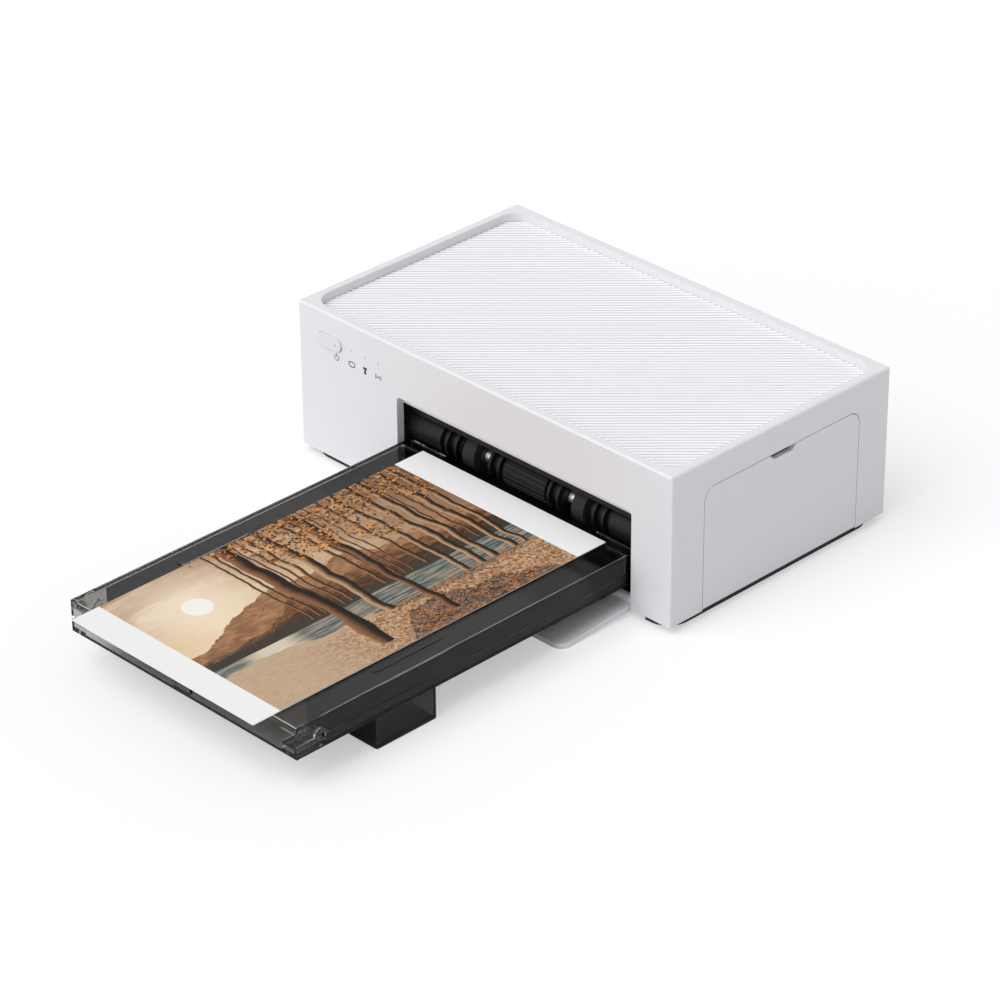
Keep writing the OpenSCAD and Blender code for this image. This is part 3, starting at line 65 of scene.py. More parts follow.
class Graph:
    """Builds a material's node tree in few words. A tuple given as a value is a colour."""

    def __init__(self, name):
        self.material = bpy.data.materials.new(name)
        self.material.use_nodes = True
        self.tree = self.material.node_tree
        self.tree.nodes.clear()
        self.place = self.node("ShaderNodeTexCoord").outputs["Object"]

    def node(self, kind, **values):
        made = self.tree.nodes.new(kind)
        for key, value in values.items():
            setattr(made, key, value)
        return made

    def put(self, socket, value):
        if isinstance(value, bpy.types.NodeSocket):
            self.tree.links.new(value, socket)
        elif isinstance(value, tuple):
            socket.default_value = (*value, 1.0)
        else:
            socket.default_value = value

    def math(self, op, *values):
        made = self.node("ShaderNodeMath", operation=op)
        for socket, value in zip(made.inputs, values):
            self.put(socket, value)
        return made.outputs[0]

    def add(self, a, b):
        return self.math("ADD", a, b)

    def sub(self, a, b):
        return self.math("SUBTRACT", a, b)

    def mul(self, a, b):
        return self.math("MULTIPLY", a, b)

    def step(self, value, low, high):
        """0 at low, 1 at high, smooth between."""
        made = self.node("ShaderNodeMapRange", interpolation_type="SMOOTHSTEP")
        for key, given in (("Value", value), ("From Min", low), ("From Max", high)):
            self.put(made.inputs[key], given)
        return made.outputs[0]

    def mix(self, factor, a, b):
        made = self.node("ShaderNodeMix", data_type="RGBA")
        for socket, value in ((made.inputs["Factor"], factor), (made.inputs[6], a), (made.inputs[7], b)):
            self.put(socket, value)
        return made.outputs[2]

    def scaled(self, vector, factors):
        made = self.node("ShaderNodeVectorMath", operation="MULTIPLY")
        self.put(made.inputs[0], vector)
        made.inputs[1].default_value = factors
        return made.outputs[0]

    def moved(self, vector, shift):
        made = self.node("ShaderNodeVectorMath", operation="ADD")
        self.put(made.inputs[0], vector)
        made.inputs[1].default_value = shift
        return made.outputs[0]

    def split(self, vector):
        """The x, y and z of a vector."""
        made = self.node("ShaderNodeSeparateXYZ")
        self.put(made.inputs[0], vector)
        return made.outputs

    def noise(self, vector, scale, detail=3.0, rough=0.5, distort=0.0):
        made = self.node("ShaderNodeTexNoise")
        self.put(made.inputs["Vector"], vector)
        made.inputs["Scale"].default_value = scale
        made.inputs["Detail"].default_value = detail
        made.inputs["Roughness"].default_value = rough
        made.inputs["Distortion"].default_value = distort
        return made.outputs["Fac"]

    def cells(self, vector, scale):
        """Distance to the middle of the nearest cell, and three random numbers of that cell."""
        made = self.node("ShaderNodeTexVoronoi", feature="F1")
        self.put(made.inputs["Vector"], vector)
        made.inputs["Scale"].default_value = scale
        numbers = self.node("ShaderNodeSeparateColor")
        self.put(numbers.inputs[0], made.outputs["Color"])
        return made.outputs["Distance"], numbers.outputs

    def bump(self, height, strength, distance):
        made = self.node("ShaderNodeBump")
        made.inputs["Strength"].default_value = strength
        made.inputs["Distance"].default_value = distance
        self.put(made.inputs["Height"], height)
        return made.outputs[0]

    def principled(self, **values):
        made = self.node("ShaderNodeBsdfPrincipled")
        for key, value in values.items():
            self.put(made.inputs[key.replace("_", " ")], value)
        return made.outputs[0]

    def blend(self, factor, a, b):
        """Shader a where the factor is 0, and shader b where it is 1."""
        made = self.node("ShaderNodeMixShader")
        for socket, value in zip(made.inputs, (factor, a, b)):
            self.put(socket, value)
        return made.outputs[0]

    def done(self, shader):
        out = self.node("ShaderNodeOutputMaterial")
        self.put(out.inputs["Surface"], shader)
        return self.material


def background_rays(tree):
    """1 for rays from the camera, off gloss and through clear plastic, and 0 for the rest."""
    path = tree.nodes.new("ShaderNodeLightPath")
    value = path.outputs["Is Camera Ray"]
    for name in ("Is Glossy Ray", "Is Transmission Ray"):
        either = tree.nodes.new("ShaderNodeMath")
        either.operation = "MAXIMUM"
        tree.links.new(value, either.inputs[0])
        tree.links.new(path.outputs[name], either.inputs[1])
        value = either.outputs[0]
    return value


# ---- kinds of material: a grain's scale is in cells per metre, a bump's depth in metres ----

PLASTIC_IOR = 1.5


def shade(color, factor):
    return tuple(min(1.0, c * factor) for c in color)


def patches(g, color, vary, scale, detail=3.0):
    """A colour that is a little darker in places and a little lighter in others."""
    return g.mix(g.noise(g.place, scale, detail), shade(color, 1 - vary), shade(color, 1 + vary))


def around(g, value, middle, swing):
    """A value from 0 to 1 turned into one that swings round the given middle."""
    return g.add(g.mul(value, swing), middle - swing / 2)


def moulded(name, color, rough=0.45, grain=900.0, depth=0.00002, vary=0.03, coat=0.0,
            strength=0.25, gloss=0.5):
    """Moulded plastic: a fine grain, a slightly uneven gloss and a faint change of colour."""
    g = Graph(name)
    sheen = g.noise(g.place, scale=60.0, detail=4.0)
    fine = g.noise(g.place, grain, detail=3.0, rough=0.6)
    return g.done(g.principled(
        Base_Color=patches(g, color, vary, scale=18.0, detail=4.0),
        Roughness=around(g, sheen, middle=rough, swing=0.12),
        IOR=PLASTIC_IOR, Specular_IOR_Level=gloss, Coat_Weight=coat, Coat_Roughness=0.25,
        Normal=g.bump(fine, strength, depth)))


def ribbed(name, lit_crest, shaded_valley, valley_z, crest_z):
    """Moulded plastic with painted light: its grooves are painted a little darker than its ribs as shade,
    and the ribs' crests are painted lighter as lit.
    """
    g = Graph(name)
    # Painted shade: the colour darkens with depth into each groove, and turns to painted light towards the
    # crests
    height = g.step(g.split(g.place)["Z"], valley_z, crest_z)
    fine = g.noise(g.place, scale=1400.0, detail=3.0, rough=0.6)
    return g.done(g.principled(
        Base_Color=g.mix(height, shaded_valley, lit_crest), Roughness=0.5, IOR=PLASTIC_IOR,
        Normal=g.bump(fine, strength=0.15, distance=0.00001)))


# Directions of a metal's grain, as how fast it changes along x, y and z
EVEN = (1.0, 1.0, 1.0)
ALONG_X = (0.05, 1.0, 1.0)
ALONG_Y = (1.0, 0.05, 1.0)


def metal(name, color, rough=0.3, stretch=EVEN, vary=0.08):
    """Metal with a brushed or turned grain along one direction."""
    g = Graph(name)
    lines = g.noise(g.scaled(g.place, stretch), scale=1500.0, detail=2.0, rough=0.6)
    return g.done(g.principled(
        Base_Color=patches(g, color, vary, scale=40.0), Metallic=1.0,
        Roughness=around(g, lines, middle=rough, swing=0.18),
        Normal=g.bump(lines, strength=0.15, distance=0.00002)))


def rubber(name, color, rough=0.72):
    """Ground rubber with a fine pitted surface."""
    g = Graph(name)
    tone = g.mix(g.noise(g.place, scale=130.0), shade(color, 0.8), shade(color, 1.25))
    pits = g.noise(g.place, scale=2600.0, detail=4.0, rough=0.7)
    return g.done(g.principled(
        Base_Color=tone, Roughness=rough, Specular_IOR_Level=0.35,
        Normal=g.bump(pits, strength=0.5, distance=0.00004)))


def clear_plastic(name, color, rough, scuff, through):
    """See-through tinted plastic, up to scuff hazier in places. through is what its shadow lets by."""
    g = Graph(name)
    haze = g.noise(g.place, scale=30.0, detail=4.0)
    wave = g.noise(g.place, scale=90.0, detail=2.0)
    body = g.principled(
        Base_Color=color, Transmission_Weight=1.0, IOR=1.36, Specular_Tint=(0.18, 0.18, 0.18),
        Roughness=g.add(g.mul(haze, scuff), rough), Normal=g.bump(wave, strength=0.02, distance=0.0002))
    light = g.node("ShaderNodeBsdfTransparent")
    g.put(light.inputs[0], (through, through, through))
    in_shadow = g.node("ShaderNodeLightPath").outputs["Is Shadow Ray"]
    return g.done(g.blend(in_shadow, body, light.outputs[0]))


def circuit_board(name):
    """Green lacquer over faint copper tracks."""
    g = Graph(name)
    brick = g.node("ShaderNodeTexBrick")
    for key, value in (
        ("Vector", g.place), ("Scale", 320.0), ("Mortar Size", 0.06), ("Color1", (0.02, 0.14, 0.06)),
        ("Color2", (0.025, 0.17, 0.075)), ("Mortar", (0.05, 0.26, 0.12)),
    ):
        g.put(brick.inputs[key], value)
    return g.done(g.principled(
        Base_Color=brick.outputs["Color"], Roughness=0.3, Coat_Weight=0.4,
        Normal=g.bump(brick.outputs["Fac"], strength=0.2, distance=0.00003)))


# ---- the print: a made-up autumn wood by a lake at dusk ----

PRINT_LOW, PRINT_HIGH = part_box("print_sheet")
PRINT_W = PRINT_HIGH.x - PRINT_LOW.x
PICTURE_L = 152.4 * MM
# The white end in front of the picture
FRONT_END = 13.2 * MM
ASPECT = PICTURE_L / PRINT_W

# The sun's middle, along the picture and up it, and its radius, in picture heights
SUN_U = 0.17
SUN_V = 0.74
SUN_R = 0.058
# The middle of the rocks at the front
ROCKS_U = 0.66

# Single colours, then pairs of a dark tone and a light one
PAPER_WHITE = (0.94, 0.94, 0.945)
LOW_SKY = (0.86, 0.62, 0.38)
HIGH_SKY = (0.42, 0.25, 0.15)
CLOUD = (0.93, 0.76, 0.56)
DUSK = (0.20, 0.085, 0.035)
SUN_GLOW = (1.0, 0.86, 0.66)
SUN_FACE = (1.0, 0.97, 0.9)
SUN_PATH = (0.98, 0.84, 0.62)
FILM_GRAIN = (0.5, 0.4, 0.3)
FAR_TREES = ((0.015, 0.014, 0.012), (0.075, 0.06, 0.045))
WATER = ((0.03, 0.10, 0.12), (0.42, 0.32, 0.23))
SAND = ((0.40, 0.26, 0.16), (0.74, 0.55, 0.38))
ROCK = ((0.022, 0.023, 0.026), (0.17, 0.165, 0.16))
FALLEN_LEAF = ((0.05, 0.018, 0.008), (0.62, 0.27, 0.09))
LEAF = ((0.03, 0.01, 0.006), (0.85, 0.36, 0.09))


class Picture(Graph):
    """Layers painted one over another. u runs along the picture and v up it, from 0 to 1."""

    def __init__(self, name, ground):
        super().__init__(name)
        self.color = ground
        place = self.split(self.place)
        self.u = self.math("DIVIDE", self.sub(place["Y"], PRINT_LOW.y + FRONT_END), PICTURE_L)
        self.v = self.math("DIVIDE", self.sub(PRINT_HIGH.x, place["X"]), PRINT_W)
        join = self.node("ShaderNodeCombineXYZ")
        self.put(join.inputs[0], self.mul(self.u, ASPECT))
        self.put(join.inputs[1], self.v)
        self.flat = join.outputs[0]

    def paint(self, cover, color, strength=1.0):
        """Paints over the layers below, as far as the cover goes from 0 to 1."""
        self.color = self.mix(self.mul(cover, strength), self.color, color)

    def paint_below(self, edge, color, soft=0.003, start=0.0):
        """Paints what lies below an edge, which is soft from start to soft below it."""
        self.paint(self.step(self.sub(edge, self.v), start, soft), color)

    def stretched(self, along, up, scale, detail, rough=0.5, distort=0.0):
        """Noise that changes this fast along the picture and up it."""
        return self.noise(self.scaled(self.flat, (along, up, 1.0)), scale, detail, rough, distort)

    def skyline(self, level, height, scale, detail, shift):
        """The height of an uneven line that runs along the whole picture."""
        along = self.scaled(self.flat, (1.0, 0.0, 0.0))
        uneven = self.noise(self.moved(along, (shift, shift * 0.7, 0.0)), scale, detail, 0.55)
        return self.add(level - height / 2, self.mul(uneven, height))

    def away_from(self, u):
        """The distance along the picture from a place on it."""
        return self.math("ABSOLUTE", self.sub(self.u, u))

    def dice(self, value, salt):
        """A number from 0 to 1 that depends on the value and the salt alone."""
        made = self.node("ShaderNodeTexWhiteNoise", noise_dimensions="1D")
        self.put(made.inputs["W"], self.add(value, salt))
        return made.outputs["Value"]


def paint_sky(p):
    """Light low down and at the left, streaks of cloud, and a pale sun with its glow."""
    p.paint(p.step(p.v, 0.45, 1.0), HIGH_SKY)
    cloud = p.stretched(along=1.2, up=4.5, scale=2.2, detail=6.0, rough=0.62, distort=0.6)
    p.paint(p.step(cloud, 0.46, 0.7), CLOUD, strength=0.75)
    p.paint(p.step(p.u, 0.35, 1.0), DUSK, strength=0.8)
    across = p.mul(p.sub(p.u, SUN_U), ASPECT)
    up = p.sub(p.v, SUN_V)
    from_sun = p.math("SQRT", p.add(p.mul(across, across), p.mul(up, up)))
    p.paint(p.sub(1.0, p.step(from_sun, 0.02, 0.42)), SUN_GLOW, strength=0.8)
    p.paint(p.sub(1.0, p.step(from_sun, SUN_R, SUN_R + 0.006)), SUN_FACE)


def paint_ridges(p):
    """Three ridges, one behind the other, lower at the left."""
    for level, height, scale, shift, light, dark in (
        (0.62, 0.34, 2.6, 3.1, (0.46, 0.24, 0.12), (0.25, 0.12, 0.055)),
        (0.53, 0.26, 3.4, 7.7, (0.28, 0.13, 0.055), (0.11, 0.045, 0.02)),
        (0.46, 0.16, 5.0, 12.3, (0.13, 0.055, 0.025), (0.04, 0.018, 0.01)),
    ):
        drop = p.mul(p.step(p.u, 0.42, 0.0), 0.13)
        edge = p.sub(p.skyline(level, height, scale, detail=7.0, shift=shift), drop)
        rock = p.stretched(along=1.0, up=2.4, scale=9.0 + shift, detail=8.0, rough=0.66, distort=0.8)
        p.paint_below(edge, p.mix(p.step(rock, 0.36, 0.66), dark, light), start=-0.001)


def paint_far_wood(p):
    """A dark row of pointed trees on the far shore."""
    saw = p.node("ShaderNodeTexVoronoi", feature="F1", voronoi_dimensions="1D")
    trees_in_row = 92.0
    tree_height = 0.055
    p.put(saw.inputs["W"], p.mul(p.u, trees_in_row))
    points = p.mul(p.sub(0.5, saw.outputs["Distance"]), tree_height)
    tone = p.mix(p.noise(p.flat, 60.0, 5.0, 0.7), *FAR_TREES)
    row = p.skyline(level=0.405, height=0.05, scale=4.0, detail=2.0, shift=21.0)
    p.paint_below(p.add(row, points), tone)


def paint_lake(p):
    """Flat ripples that hold the sky's colours, and the sun's path."""
    ripple = p.stretched(along=1.0, up=16.0, scale=7.0, detail=6.0, rough=0.6, distort=0.3)
    path = p.mul(p.sub(1.0, p.step(p.away_from(SUN_U), 0.02, 0.12)), 0.7)
    water = p.mix(path, p.mix(p.step(ripple, 0.4, 0.62), *WATER), SUN_PATH)
    p.paint_below(p.skyline(level=0.355, height=0.03, scale=1.2, detail=2.0, shift=5.0), water, soft=0.002)


def paint_shore(p):
    """Pale sand that rises to the left, with dark grey rocks before it."""
    rise = p.mul(p.step(p.u, 0.75, 0.0), 0.12)
    sand = p.mix(p.stretched(along=1.0, up=3.0, scale=24.0, detail=7.0, rough=0.68), *SAND)
    bank = p.skyline(level=0.20, height=0.16, scale=2.2, detail=4.0, shift=31.0)
    p.paint_below(p.add(bank, rise), sand, soft=0.004)
    fall = p.mul(p.step(p.away_from(ROCKS_U), 0.12, 0.34), -0.3)
    crack = p.noise(p.flat, 17.0, 9.0, 0.7, 1.2)
    heap = p.skyline(level=0.17, height=0.42, scale=3.1, detail=6.0, shift=44.0)
    p.paint_below(p.add(heap, fall), p.mix(p.step(crack, 0.4, 0.66), *ROCK))


def paint_fallen_leaves(p):
    """Leaves on the ground, denser to the right."""
    _, numbers = p.cells(p.scaled(p.flat, (1.0, 1.6, 1.0)), 95.0)
    ground = p.step(p.sub(0.26, p.v), 0.0, 0.05)
    spread = p.mul(p.step(p.u, 0.1, 0.5), p.step(numbers[1], 0.3, 0.4))
    p.paint(p.mul(ground, spread), p.mix(numbers[0], *FALLEN_LEAF), strength=0.85)


def paint_trunks(p):
    """Three rows of bent trunks, lit from the left, each nearer and sparser than the last.

    count cells make a row, and a share of them stays empty. None stands far to the left.
    """
    for count, width, foot, share, bend, lit, shaded in (
        (44.0, 0.26, 0.37, 0.50, 0.03, (0.36, 0.17, 0.075), (0.03, 0.012, 0.006)),
        (19.0, 0.27, 0.22, 0.55, 0.045, (0.60, 0.36, 0.20), (0.010, 0.005, 0.003)),
        (9.0, 0.24, 0.06, 0.55, 0.06, (0.30, 0.13, 0.06), (0.003, 0.002, 0.0015)),
    ):
        sway = p.sub(p.stretched(along=0.8, up=1.4, scale=2.0 + count / 12, detail=2.0), 0.5)
        cell = p.mul(p.add(p.u, p.mul(sway, bend)), count)
        index = p.math("FLOOR", cell)
        middle = p.add(p.mul(p.dice(index, 1.5), 0.3), 0.35)
        across = p.sub(p.math("FRACT", cell), middle)
        half = p.mul(p.add(p.mul(p.dice(index, 7.5), 0.7), 0.45), width)
        inside = p.step(p.sub(half, p.math("ABSOLUTE", across)), 0.0, 0.03)
        stands = p.mul(p.step(p.dice(index, 13.5), share, share + 0.01), p.step(p.v, foot, foot + 0.004))
        stands = p.mul(stands, p.step(p.math("DIVIDE", index, count), 0.29, 0.3))
        bark = p.mul(p.stretched(along=1.0, up=0.25, scale=150.0, detail=3.0, rough=0.7), 0.7)
        turn = p.step(p.add(p.math("DIVIDE", across, half), bark), 0.75, -0.6)
        p.paint(p.mul(inside, stands), p.mix(turn, shaded, lit))


def paint_leaves(p):
    """Bright leaves in uneven crowns, thicker at the top and to the right."""
    distance, numbers = p.cells(p.flat, 78.0)
    uneven = p.mul(p.sub(p.noise(p.flat, 4.2, 5.0, 0.62), 0.5), 1.5)
    crowns = p.add(uneven, p.sub(p.mul(p.v, 1.2), 0.83))
    crowns = p.add(crowns, p.mul(p.step(p.u, 0.45, 0.12), -0.9))
    cover = p.mul(p.step(crowns, -0.02, 0.10), p.step(p.sub(0.62, distance), 0.0, 0.1))
    cover = p.mul(cover, p.step(numbers[2], 0.18, 0.2))
    p.paint(cover, p.mix(p.math("POWER", numbers[0], 1.8), *LEAF))


def photo_print(name):
    """The picture on the print's upper face. Its ends, edges and back are white."""
    p = Picture(name, LOW_SKY)
    for layer in (paint_sky, paint_ridges, paint_far_wood, paint_lake, paint_shore, paint_fallen_leaves,
                  paint_trunks, paint_leaves):
        layer(p)
    p.paint(p.noise(p.flat, 420.0, 2.0), FILM_GRAIN, strength=0.05)
    edge = 0.0006
    inside = p.mul(p.step(p.u, 0.0, edge), p.step(p.sub(1.0, p.u), 0.0, edge))
    normal = p.node("ShaderNodeNewGeometry").outputs["Normal"]
    face = p.mul(inside, p.step(p.split(normal)["Z"], 0.4, 0.6))
    return p.done(p.principled(
        Base_Color=p.mix(face, PAPER_WHITE, p.color), Roughness=0.35, IOR=1.45, Specular_IOR_Level=0.05,
        Normal=p.bump(p.noise(p.place, 500.0, 2.0), strength=0.04, distance=0.00002)))


# ---- looks of the solids ----

WHITE = (0.835, 0.825, 0.86)
BLACK = (0.010, 0.0095, 0.009)
STEEL = (0.78, 0.78, 0.78)
DULL_STEEL = (0.55, 0.55, 0.56)
# The ribs turn from the valleys' painted shade to the crests' painted light between these heights
RIB_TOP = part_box("top_panel")[1].z
VALLEY_Z = RIB_TOP - 0.45 * MM
CREST_Z = RIB_TOP - 0.20 * MM
LOOKS = {}


def look(material, *nodes):
    for name in nodes:
        LOOKS[name] = material


# shell
look(moulded("shell_white", WHITE, 0.42, grain=1400.0, depth=0.00001, vary=0.008, strength=0.15),
     "housing", "front_flap", "side_door")
# The top panel's ribs carry painted shade in their grooves and painted light on their crests
look(ribbed("top_white_rib_shade", (0.98, 0.97, 1.0), (0.60, 0.59, 0.62), VALLEY_Z, CREST_Z), "top_panel")
look(moulded("button_satin", (0.80, 0.80, 0.825), 0.32, grain=1600.0, depth=0.00001, vary=0.01),
     "power_button")
look(moulded("lamp_milky", (0.60, 0.60, 0.61), 0.25, depth=0.00001, vary=0.02, coat=0.5),
     "status_lenses", "button_lens")
look(moulded("base_black", (0.016, 0.016, 0.018), 0.5), "base_plate")
look(rubber("foot_rubber", (0.03, 0.03, 0.03)), "rubber_feet")
# cassette and print
look(clear_plastic("smoke_clear", (0.48, 0.47, 0.455), rough=0.08, scuff=0.02, through=0.4),
     "cassette_tray", "cassette_lid", "support_feet")
look(moulded("liner_black", BLACK, 0.8, grain=1300.0, depth=0.000002, strength=0.05, gloss=0.04),
     "cassette_liner", "lift_plate", "door_catch")
look(rubber("pad_cork", (0.33, 0.22, 0.13), 0.9), "friction_pad")
look(metal("black_steel", (0.05, 0.05, 0.05), 0.4, ALONG_X), "lid_pins")
look(photo_print("photo_print"), "print_sheet")
# paper path
look(moulded("inner_black", BLACK, 0.42, grain=700.0, depth=0.00003, vary=0.1, gloss=0.25),
     "front_frame", "feed_guide")
look(moulded("deck_black", (0.02, 0.02, 0.022), 0.5), "paper_deck", "cartridge_rests")
look(moulded("hub_grey", (0.03, 0.03, 0.03), gloss=0.3), "feed_hubs")
look(rubber("roller_rubber", (0.017, 0.017, 0.0165)), "feed_tyres", "platen_rubber")
look(metal("ground_steel", (0.95, 0.95, 0.95), 0.45, ALONG_X, vary=0.02), "feed_shaft")
look(metal("bright_steel", STEEL, 0.2, ALONG_X),
     "platen_shaft", "capstan_roller", "pinch_roller", "chassis_ties", "head_shaft", "flap_pins")
look(metal("pin_steel", STEEL, 0.25, ALONG_Y), "door_pins")
# ribbon and head
look(moulded("cartridge_grey", (0.42, 0.44, 0.47), 0.35), "cartridge_case")
look(moulded("spool_white", (0.8, 0.8, 0.78), 0.4), "supply_spool", "takeup_spool")
look(moulded("ribbon_gold", (0.42, 0.29, 0.07), 0.2, grain=300.0, vary=0.1, coat=0.5),
     "supply_ribbon", "ribbon_film")
look(moulded("ribbon_plum", (0.17, 0.06, 0.1), 0.2, grain=300.0, vary=0.1, coat=0.5), "takeup_ribbon")
look(metal("sink_aluminium", (0.82, 0.82, 0.83), 0.35, ALONG_X), "heat_sink")
look(moulded("head_glaze", (0.16, 0.13, 0.1), 0.25), "thermal_head")
# frames and drive
look(metal("plated_steel", (0.62, 0.64, 0.66), 0.38, (1.0, 0.1, 1.0)),
     "left_chassis", "right_chassis", "gear_plate", "head_arm")
look(moulded("gear_nylon", (0.8, 0.77, 0.66), 0.42), "feed_gear", "idler_gear", "capstan_gear")
look(metal("turned_brass", (0.78, 0.58, 0.27), 0.3, ALONG_X),
     "shaft_bushes", "feed_pinion", "capstan_pinion")
look(metal("motor_steel", DULL_STEEL, 0.35, (0.1, 1.0, 1.0)), "feed_motor", "capstan_motor")
look(metal("screw_steel", DULL_STEEL, 0.35), "case_screws")
# boards and sockets
look(circuit_board("board_green"), "main_board", "button_board")
look(moulded("socket_black", (0.015, 0.015, 0.015), 0.35), "power_socket", "board_parts")
look(metal("port_steel", (0.65, 0.65, 0.66), 0.28), "data_socket")

for name, obj in NODES.items():
    slots = obj.data.materials
    if not slots:
        slots.append(LOOKS[name])
    for i in range(len(slots)):
        slots[i] = LOOKS[name]


# ---- the symbols on the front ----

INK_T = 0.03
LINE_W = 0.34
SYMBOL_Z = 47.9
POWER_X = 22.5
PAPER_X = 31.4
RIBBON_X = 39.2
RADIO_X = 46.9


def mesh_piece(name, bm, material, body):
    data = bpy.data.meshes.new(name)
    bm.to_mesh(data)
    bm.free()
    data.materials.append(material)
    obj = bpy.data.objects.new(name, data)
    bpy.context.scene.collection.objects.link(obj)
    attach(obj, body)


def ink(bm, points):
    """A flat printed shape on the front face, from points in x and z, with a little thickness."""
    front = [bm.verts.new(at(x, -INK_T, z)) for x, z in points]
    back = [bm.verts.new(at(x, 0.0, z)) for x, z in points]
    bm.faces.new(front)
    for i in range(len(points)):
        j = (i + 1) % len(points)
        bm.faces.new((front[j], front[i], back[i], back[j]))


def bar(bm, x, half, low, high):
    """A block of ink on both sides of x, between two heights measured from the symbols' middle."""
    low, high = SYMBOL_Z + low, SYMBOL_Z + high
    ink(bm, [(x - half, low), (x + half, low), (x + half, high), (x - half, high)])


def stroke(bm, points, width, closed=False):
    """A line of even width along points in x and z."""
    n = len(points)
    sides = []
    for i, (x, z) in enumerate(points):
        before = points[i - 1] if closed or i > 0 else points[i]
        after = points[(i + 1) % n] if closed or i < n - 1 else points[i]
        dx, dz = after[0] - before[0], after[1] - before[1]
        size = math.hypot(dx, dz)
        ox, oz = -dz / size * width / 2, dx / size * width / 2
        sides.append(((x + ox, z + oz), (x - ox, z - oz)))
    for i in range(n if closed else n - 1):
        j = (i + 1) % n
        ink(bm, [sides[i][0], sides[i][1], sides[j][1], sides[j][0]])


def arc(x, z, r, start, end, steps):
    """Points on an arc, from one angle in degrees to another."""
    angles = [math.radians(start + (end - start) * i / steps) for i in range(steps + 1)]
    return [(x + r * math.cos(a), z + r * math.sin(a)) for a in angles]


def power_symbol(bm):
    """An open ring with a bar in its gap."""
    stroke(bm, arc(POWER_X, SYMBOL_Z - 0.1, 1.25, 125, 415, 24), LINE_W)
    bar(bm, POWER_X, LINE_W / 2, 0.0, 1.7)


def paper_symbol(bm):
    """The outline of a sheet with round corners."""
    outline = []
    for dx, dz, start in ((1.05, 0.45, 0), (-1.05, 0.45, 90), (-1.05, -0.45, 180), (1.05, -0.45, 270)):
        outline += arc(PAPER_X + dx, SYMBOL_Z + dz, 0.6, start, start + 90, 5)
    stroke(bm, outline, LINE_W + 0.06, closed=True)


def ribbon_symbol(bm):
    """A cap, a neck and a foot, one over another."""
    for half, low, high in ((1.05, 0.5, 1.6), (0.45, -0.3, 0.5), (0.6, -1.6, -0.3)):
        bar(bm, RIBBON_X, half, low, high)


def radio_symbol(bm):
    """A dot with two waves on either side."""
    ink(bm, arc(RADIO_X, SYMBOL_Z, 0.42, 0, 345, 12))
    for r in (1.0, 1.65):
        for side in (0, 180):
            stroke(bm, arc(RADIO_X, SYMBOL_Z, r, side - 42, side + 42, 8), LINE_W * 0.75)


symbols = bmesh.new()
for draw in (power_symbol, paper_symbol, ribbon_symbol, radio_symbol):
    draw(symbols)
symbol_ink = moulded("symbol_ink", (0.02, 0.02, 0.022), 0.6)
mesh_piece("front_symbols", symbols, symbol_ink, "printer")


# ---- camera, floor and light ----

# In degrees: round the printer from its front, down, and about the line of sight
CAMERA_AZIMUTH = 45.549
CAMERA_ELEVATION = 30.003
CAMERA_ROLL = -0.368
CAMERA_PLACE = Vector((1.019909, -1.051253, 0.838137))
LENS_MM = 149.24
SENSOR_MM = 36.0
# The floor's colour as it lights the printer, the lighter one that is seen, and
# how far its shadows are lifted before the camera
FLOOR_LIT = (0.80, 0.80, 0.805)
FLOOR_SEEN = (1.10, 1.10, 1.10)
FLOOR_LIFT = 0.45
FLOOR_HALF = 6.0
# How far the camera sees, in metres
SIGHT = 50.0


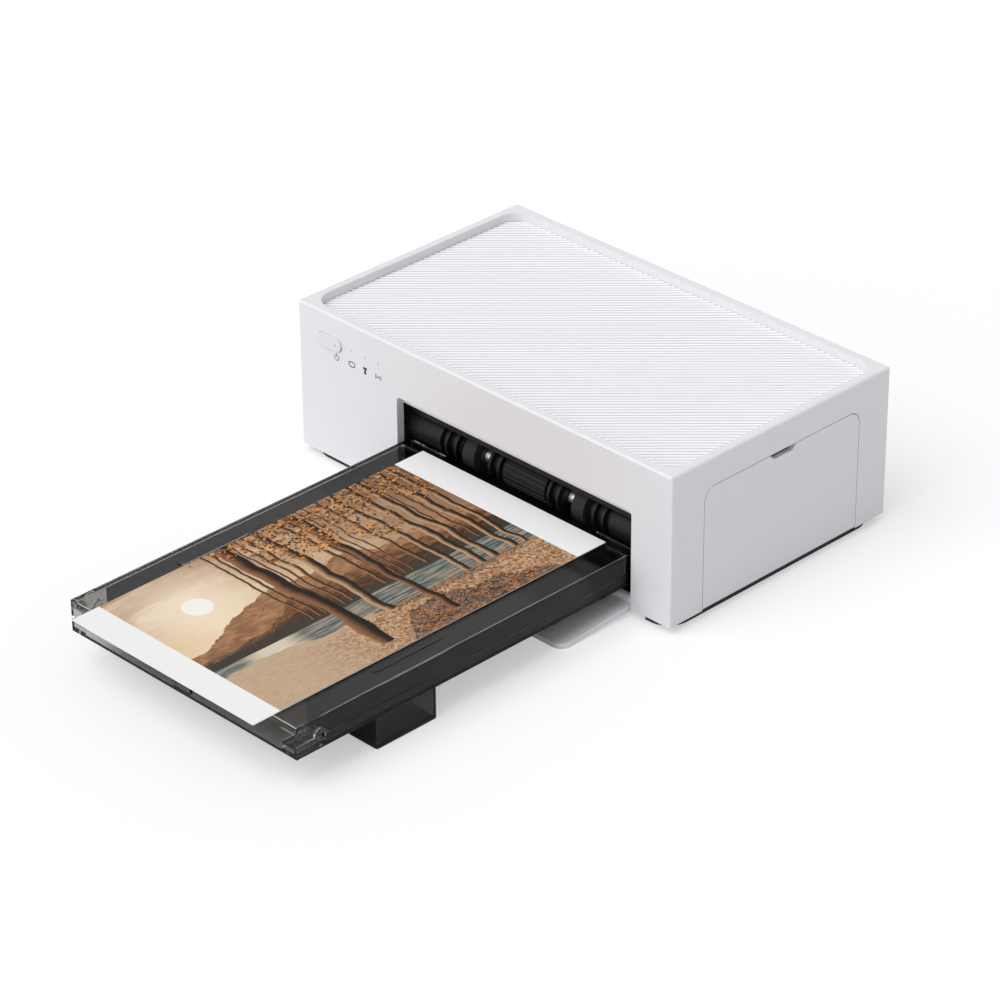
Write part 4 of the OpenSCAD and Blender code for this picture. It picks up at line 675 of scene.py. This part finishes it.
def camera():
    azimuth, elevation = math.radians(CAMERA_AZIMUTH), math.radians(CAMERA_ELEVATION)
    roll = math.radians(CAMERA_ROLL)
    ahead = Vector((-math.sin(azimuth) * math.cos(elevation), math.cos(azimuth) * math.cos(elevation),
                    -math.sin(elevation)))
    level = ahead.cross(Vector((0, 0, 1))).normalized()
    upright = level.cross(ahead)
    right = level * math.cos(roll) + upright * math.sin(roll)
    up = upright * math.cos(roll) - level * math.sin(roll)
    data = bpy.data.cameras.new("camera")
    data.sensor_width = SENSOR_MM
    data.lens = LENS_MM
    data.clip_end = SIGHT
    obj = bpy.data.objects.new("camera", data)
    turn = Matrix((right, up, -ahead)).transposed().to_4x4()
    obj.matrix_world = Matrix.Translation(CAMERA_PLACE) @ turn
    bpy.context.scene.collection.objects.link(obj)
    bpy.context.scene.camera = obj


def floor_white(name):
    """White paper that is seen lighter than it lights, and keeps a soft shadow."""
    g = Graph(name)
    paper = g.node("ShaderNodeBsdfDiffuse")
    g.put(paper.inputs["Color"], g.mix(background_rays(g.tree), FLOOR_LIT, FLOOR_SEEN))
    glow = g.node("ShaderNodeEmission")
    lift = g.mul(g.node("ShaderNodeLightPath").outputs["Is Camera Ray"], FLOOR_LIFT)
    return g.done(g.blend(lift, paper.outputs[0], glow.outputs[0]))


def floor():
    bm = bmesh.new()
    bmesh.ops.create_grid(bm, x_segments=1, y_segments=1, size=FLOOR_HALF)
    data = bpy.data.meshes.new("floor")
    bm.to_mesh(data)
    bm.free()
    data.materials.append(floor_white("floor_white"))
    obj = bpy.data.objects.new("floor", data)
    bpy.context.scene.collection.objects.link(obj)


def sun(name, direction, strength, angle):
    """A wide sun, its angle in degrees, that shines from the given direction."""
    data = bpy.data.lights.new(name, "SUN")
    data.energy = strength
    data.angle = math.radians(angle)
    obj = bpy.data.objects.new(name, data)
    obj.rotation_euler = Vector(direction).to_track_quat("Z", "Y").to_euler()
    bpy.context.scene.collection.objects.link(obj)


def world(strength):
    """White where the background is seen, and of the given strength as light."""
    made = bpy.data.worlds.new("world")
    made.use_nodes = True
    tree = made.node_tree
    level = tree.nodes.new("ShaderNodeMix")
    tree.links.new(background_rays(tree), level.inputs["Factor"])
    level.inputs["A"].default_value = strength
    level.inputs["B"].default_value = 1.0
    back = tree.nodes["Background"]
    back.inputs["Color"].default_value = (1.0, 1.0, 1.0, 1.0)
    tree.links.new(level.outputs["Result"], back.inputs["Strength"])
    bpy.context.scene.world = made


camera()
floor()
world(strength=0.48)
sun("key", (-0.12, -0.62, 1.0), strength=1.45, angle=50.0)
sun("front", (-0.10, -1.0, 0.25), strength=0.55, angle=60.0)
bpy.context.scene.view_settings.view_transform = "Standard"
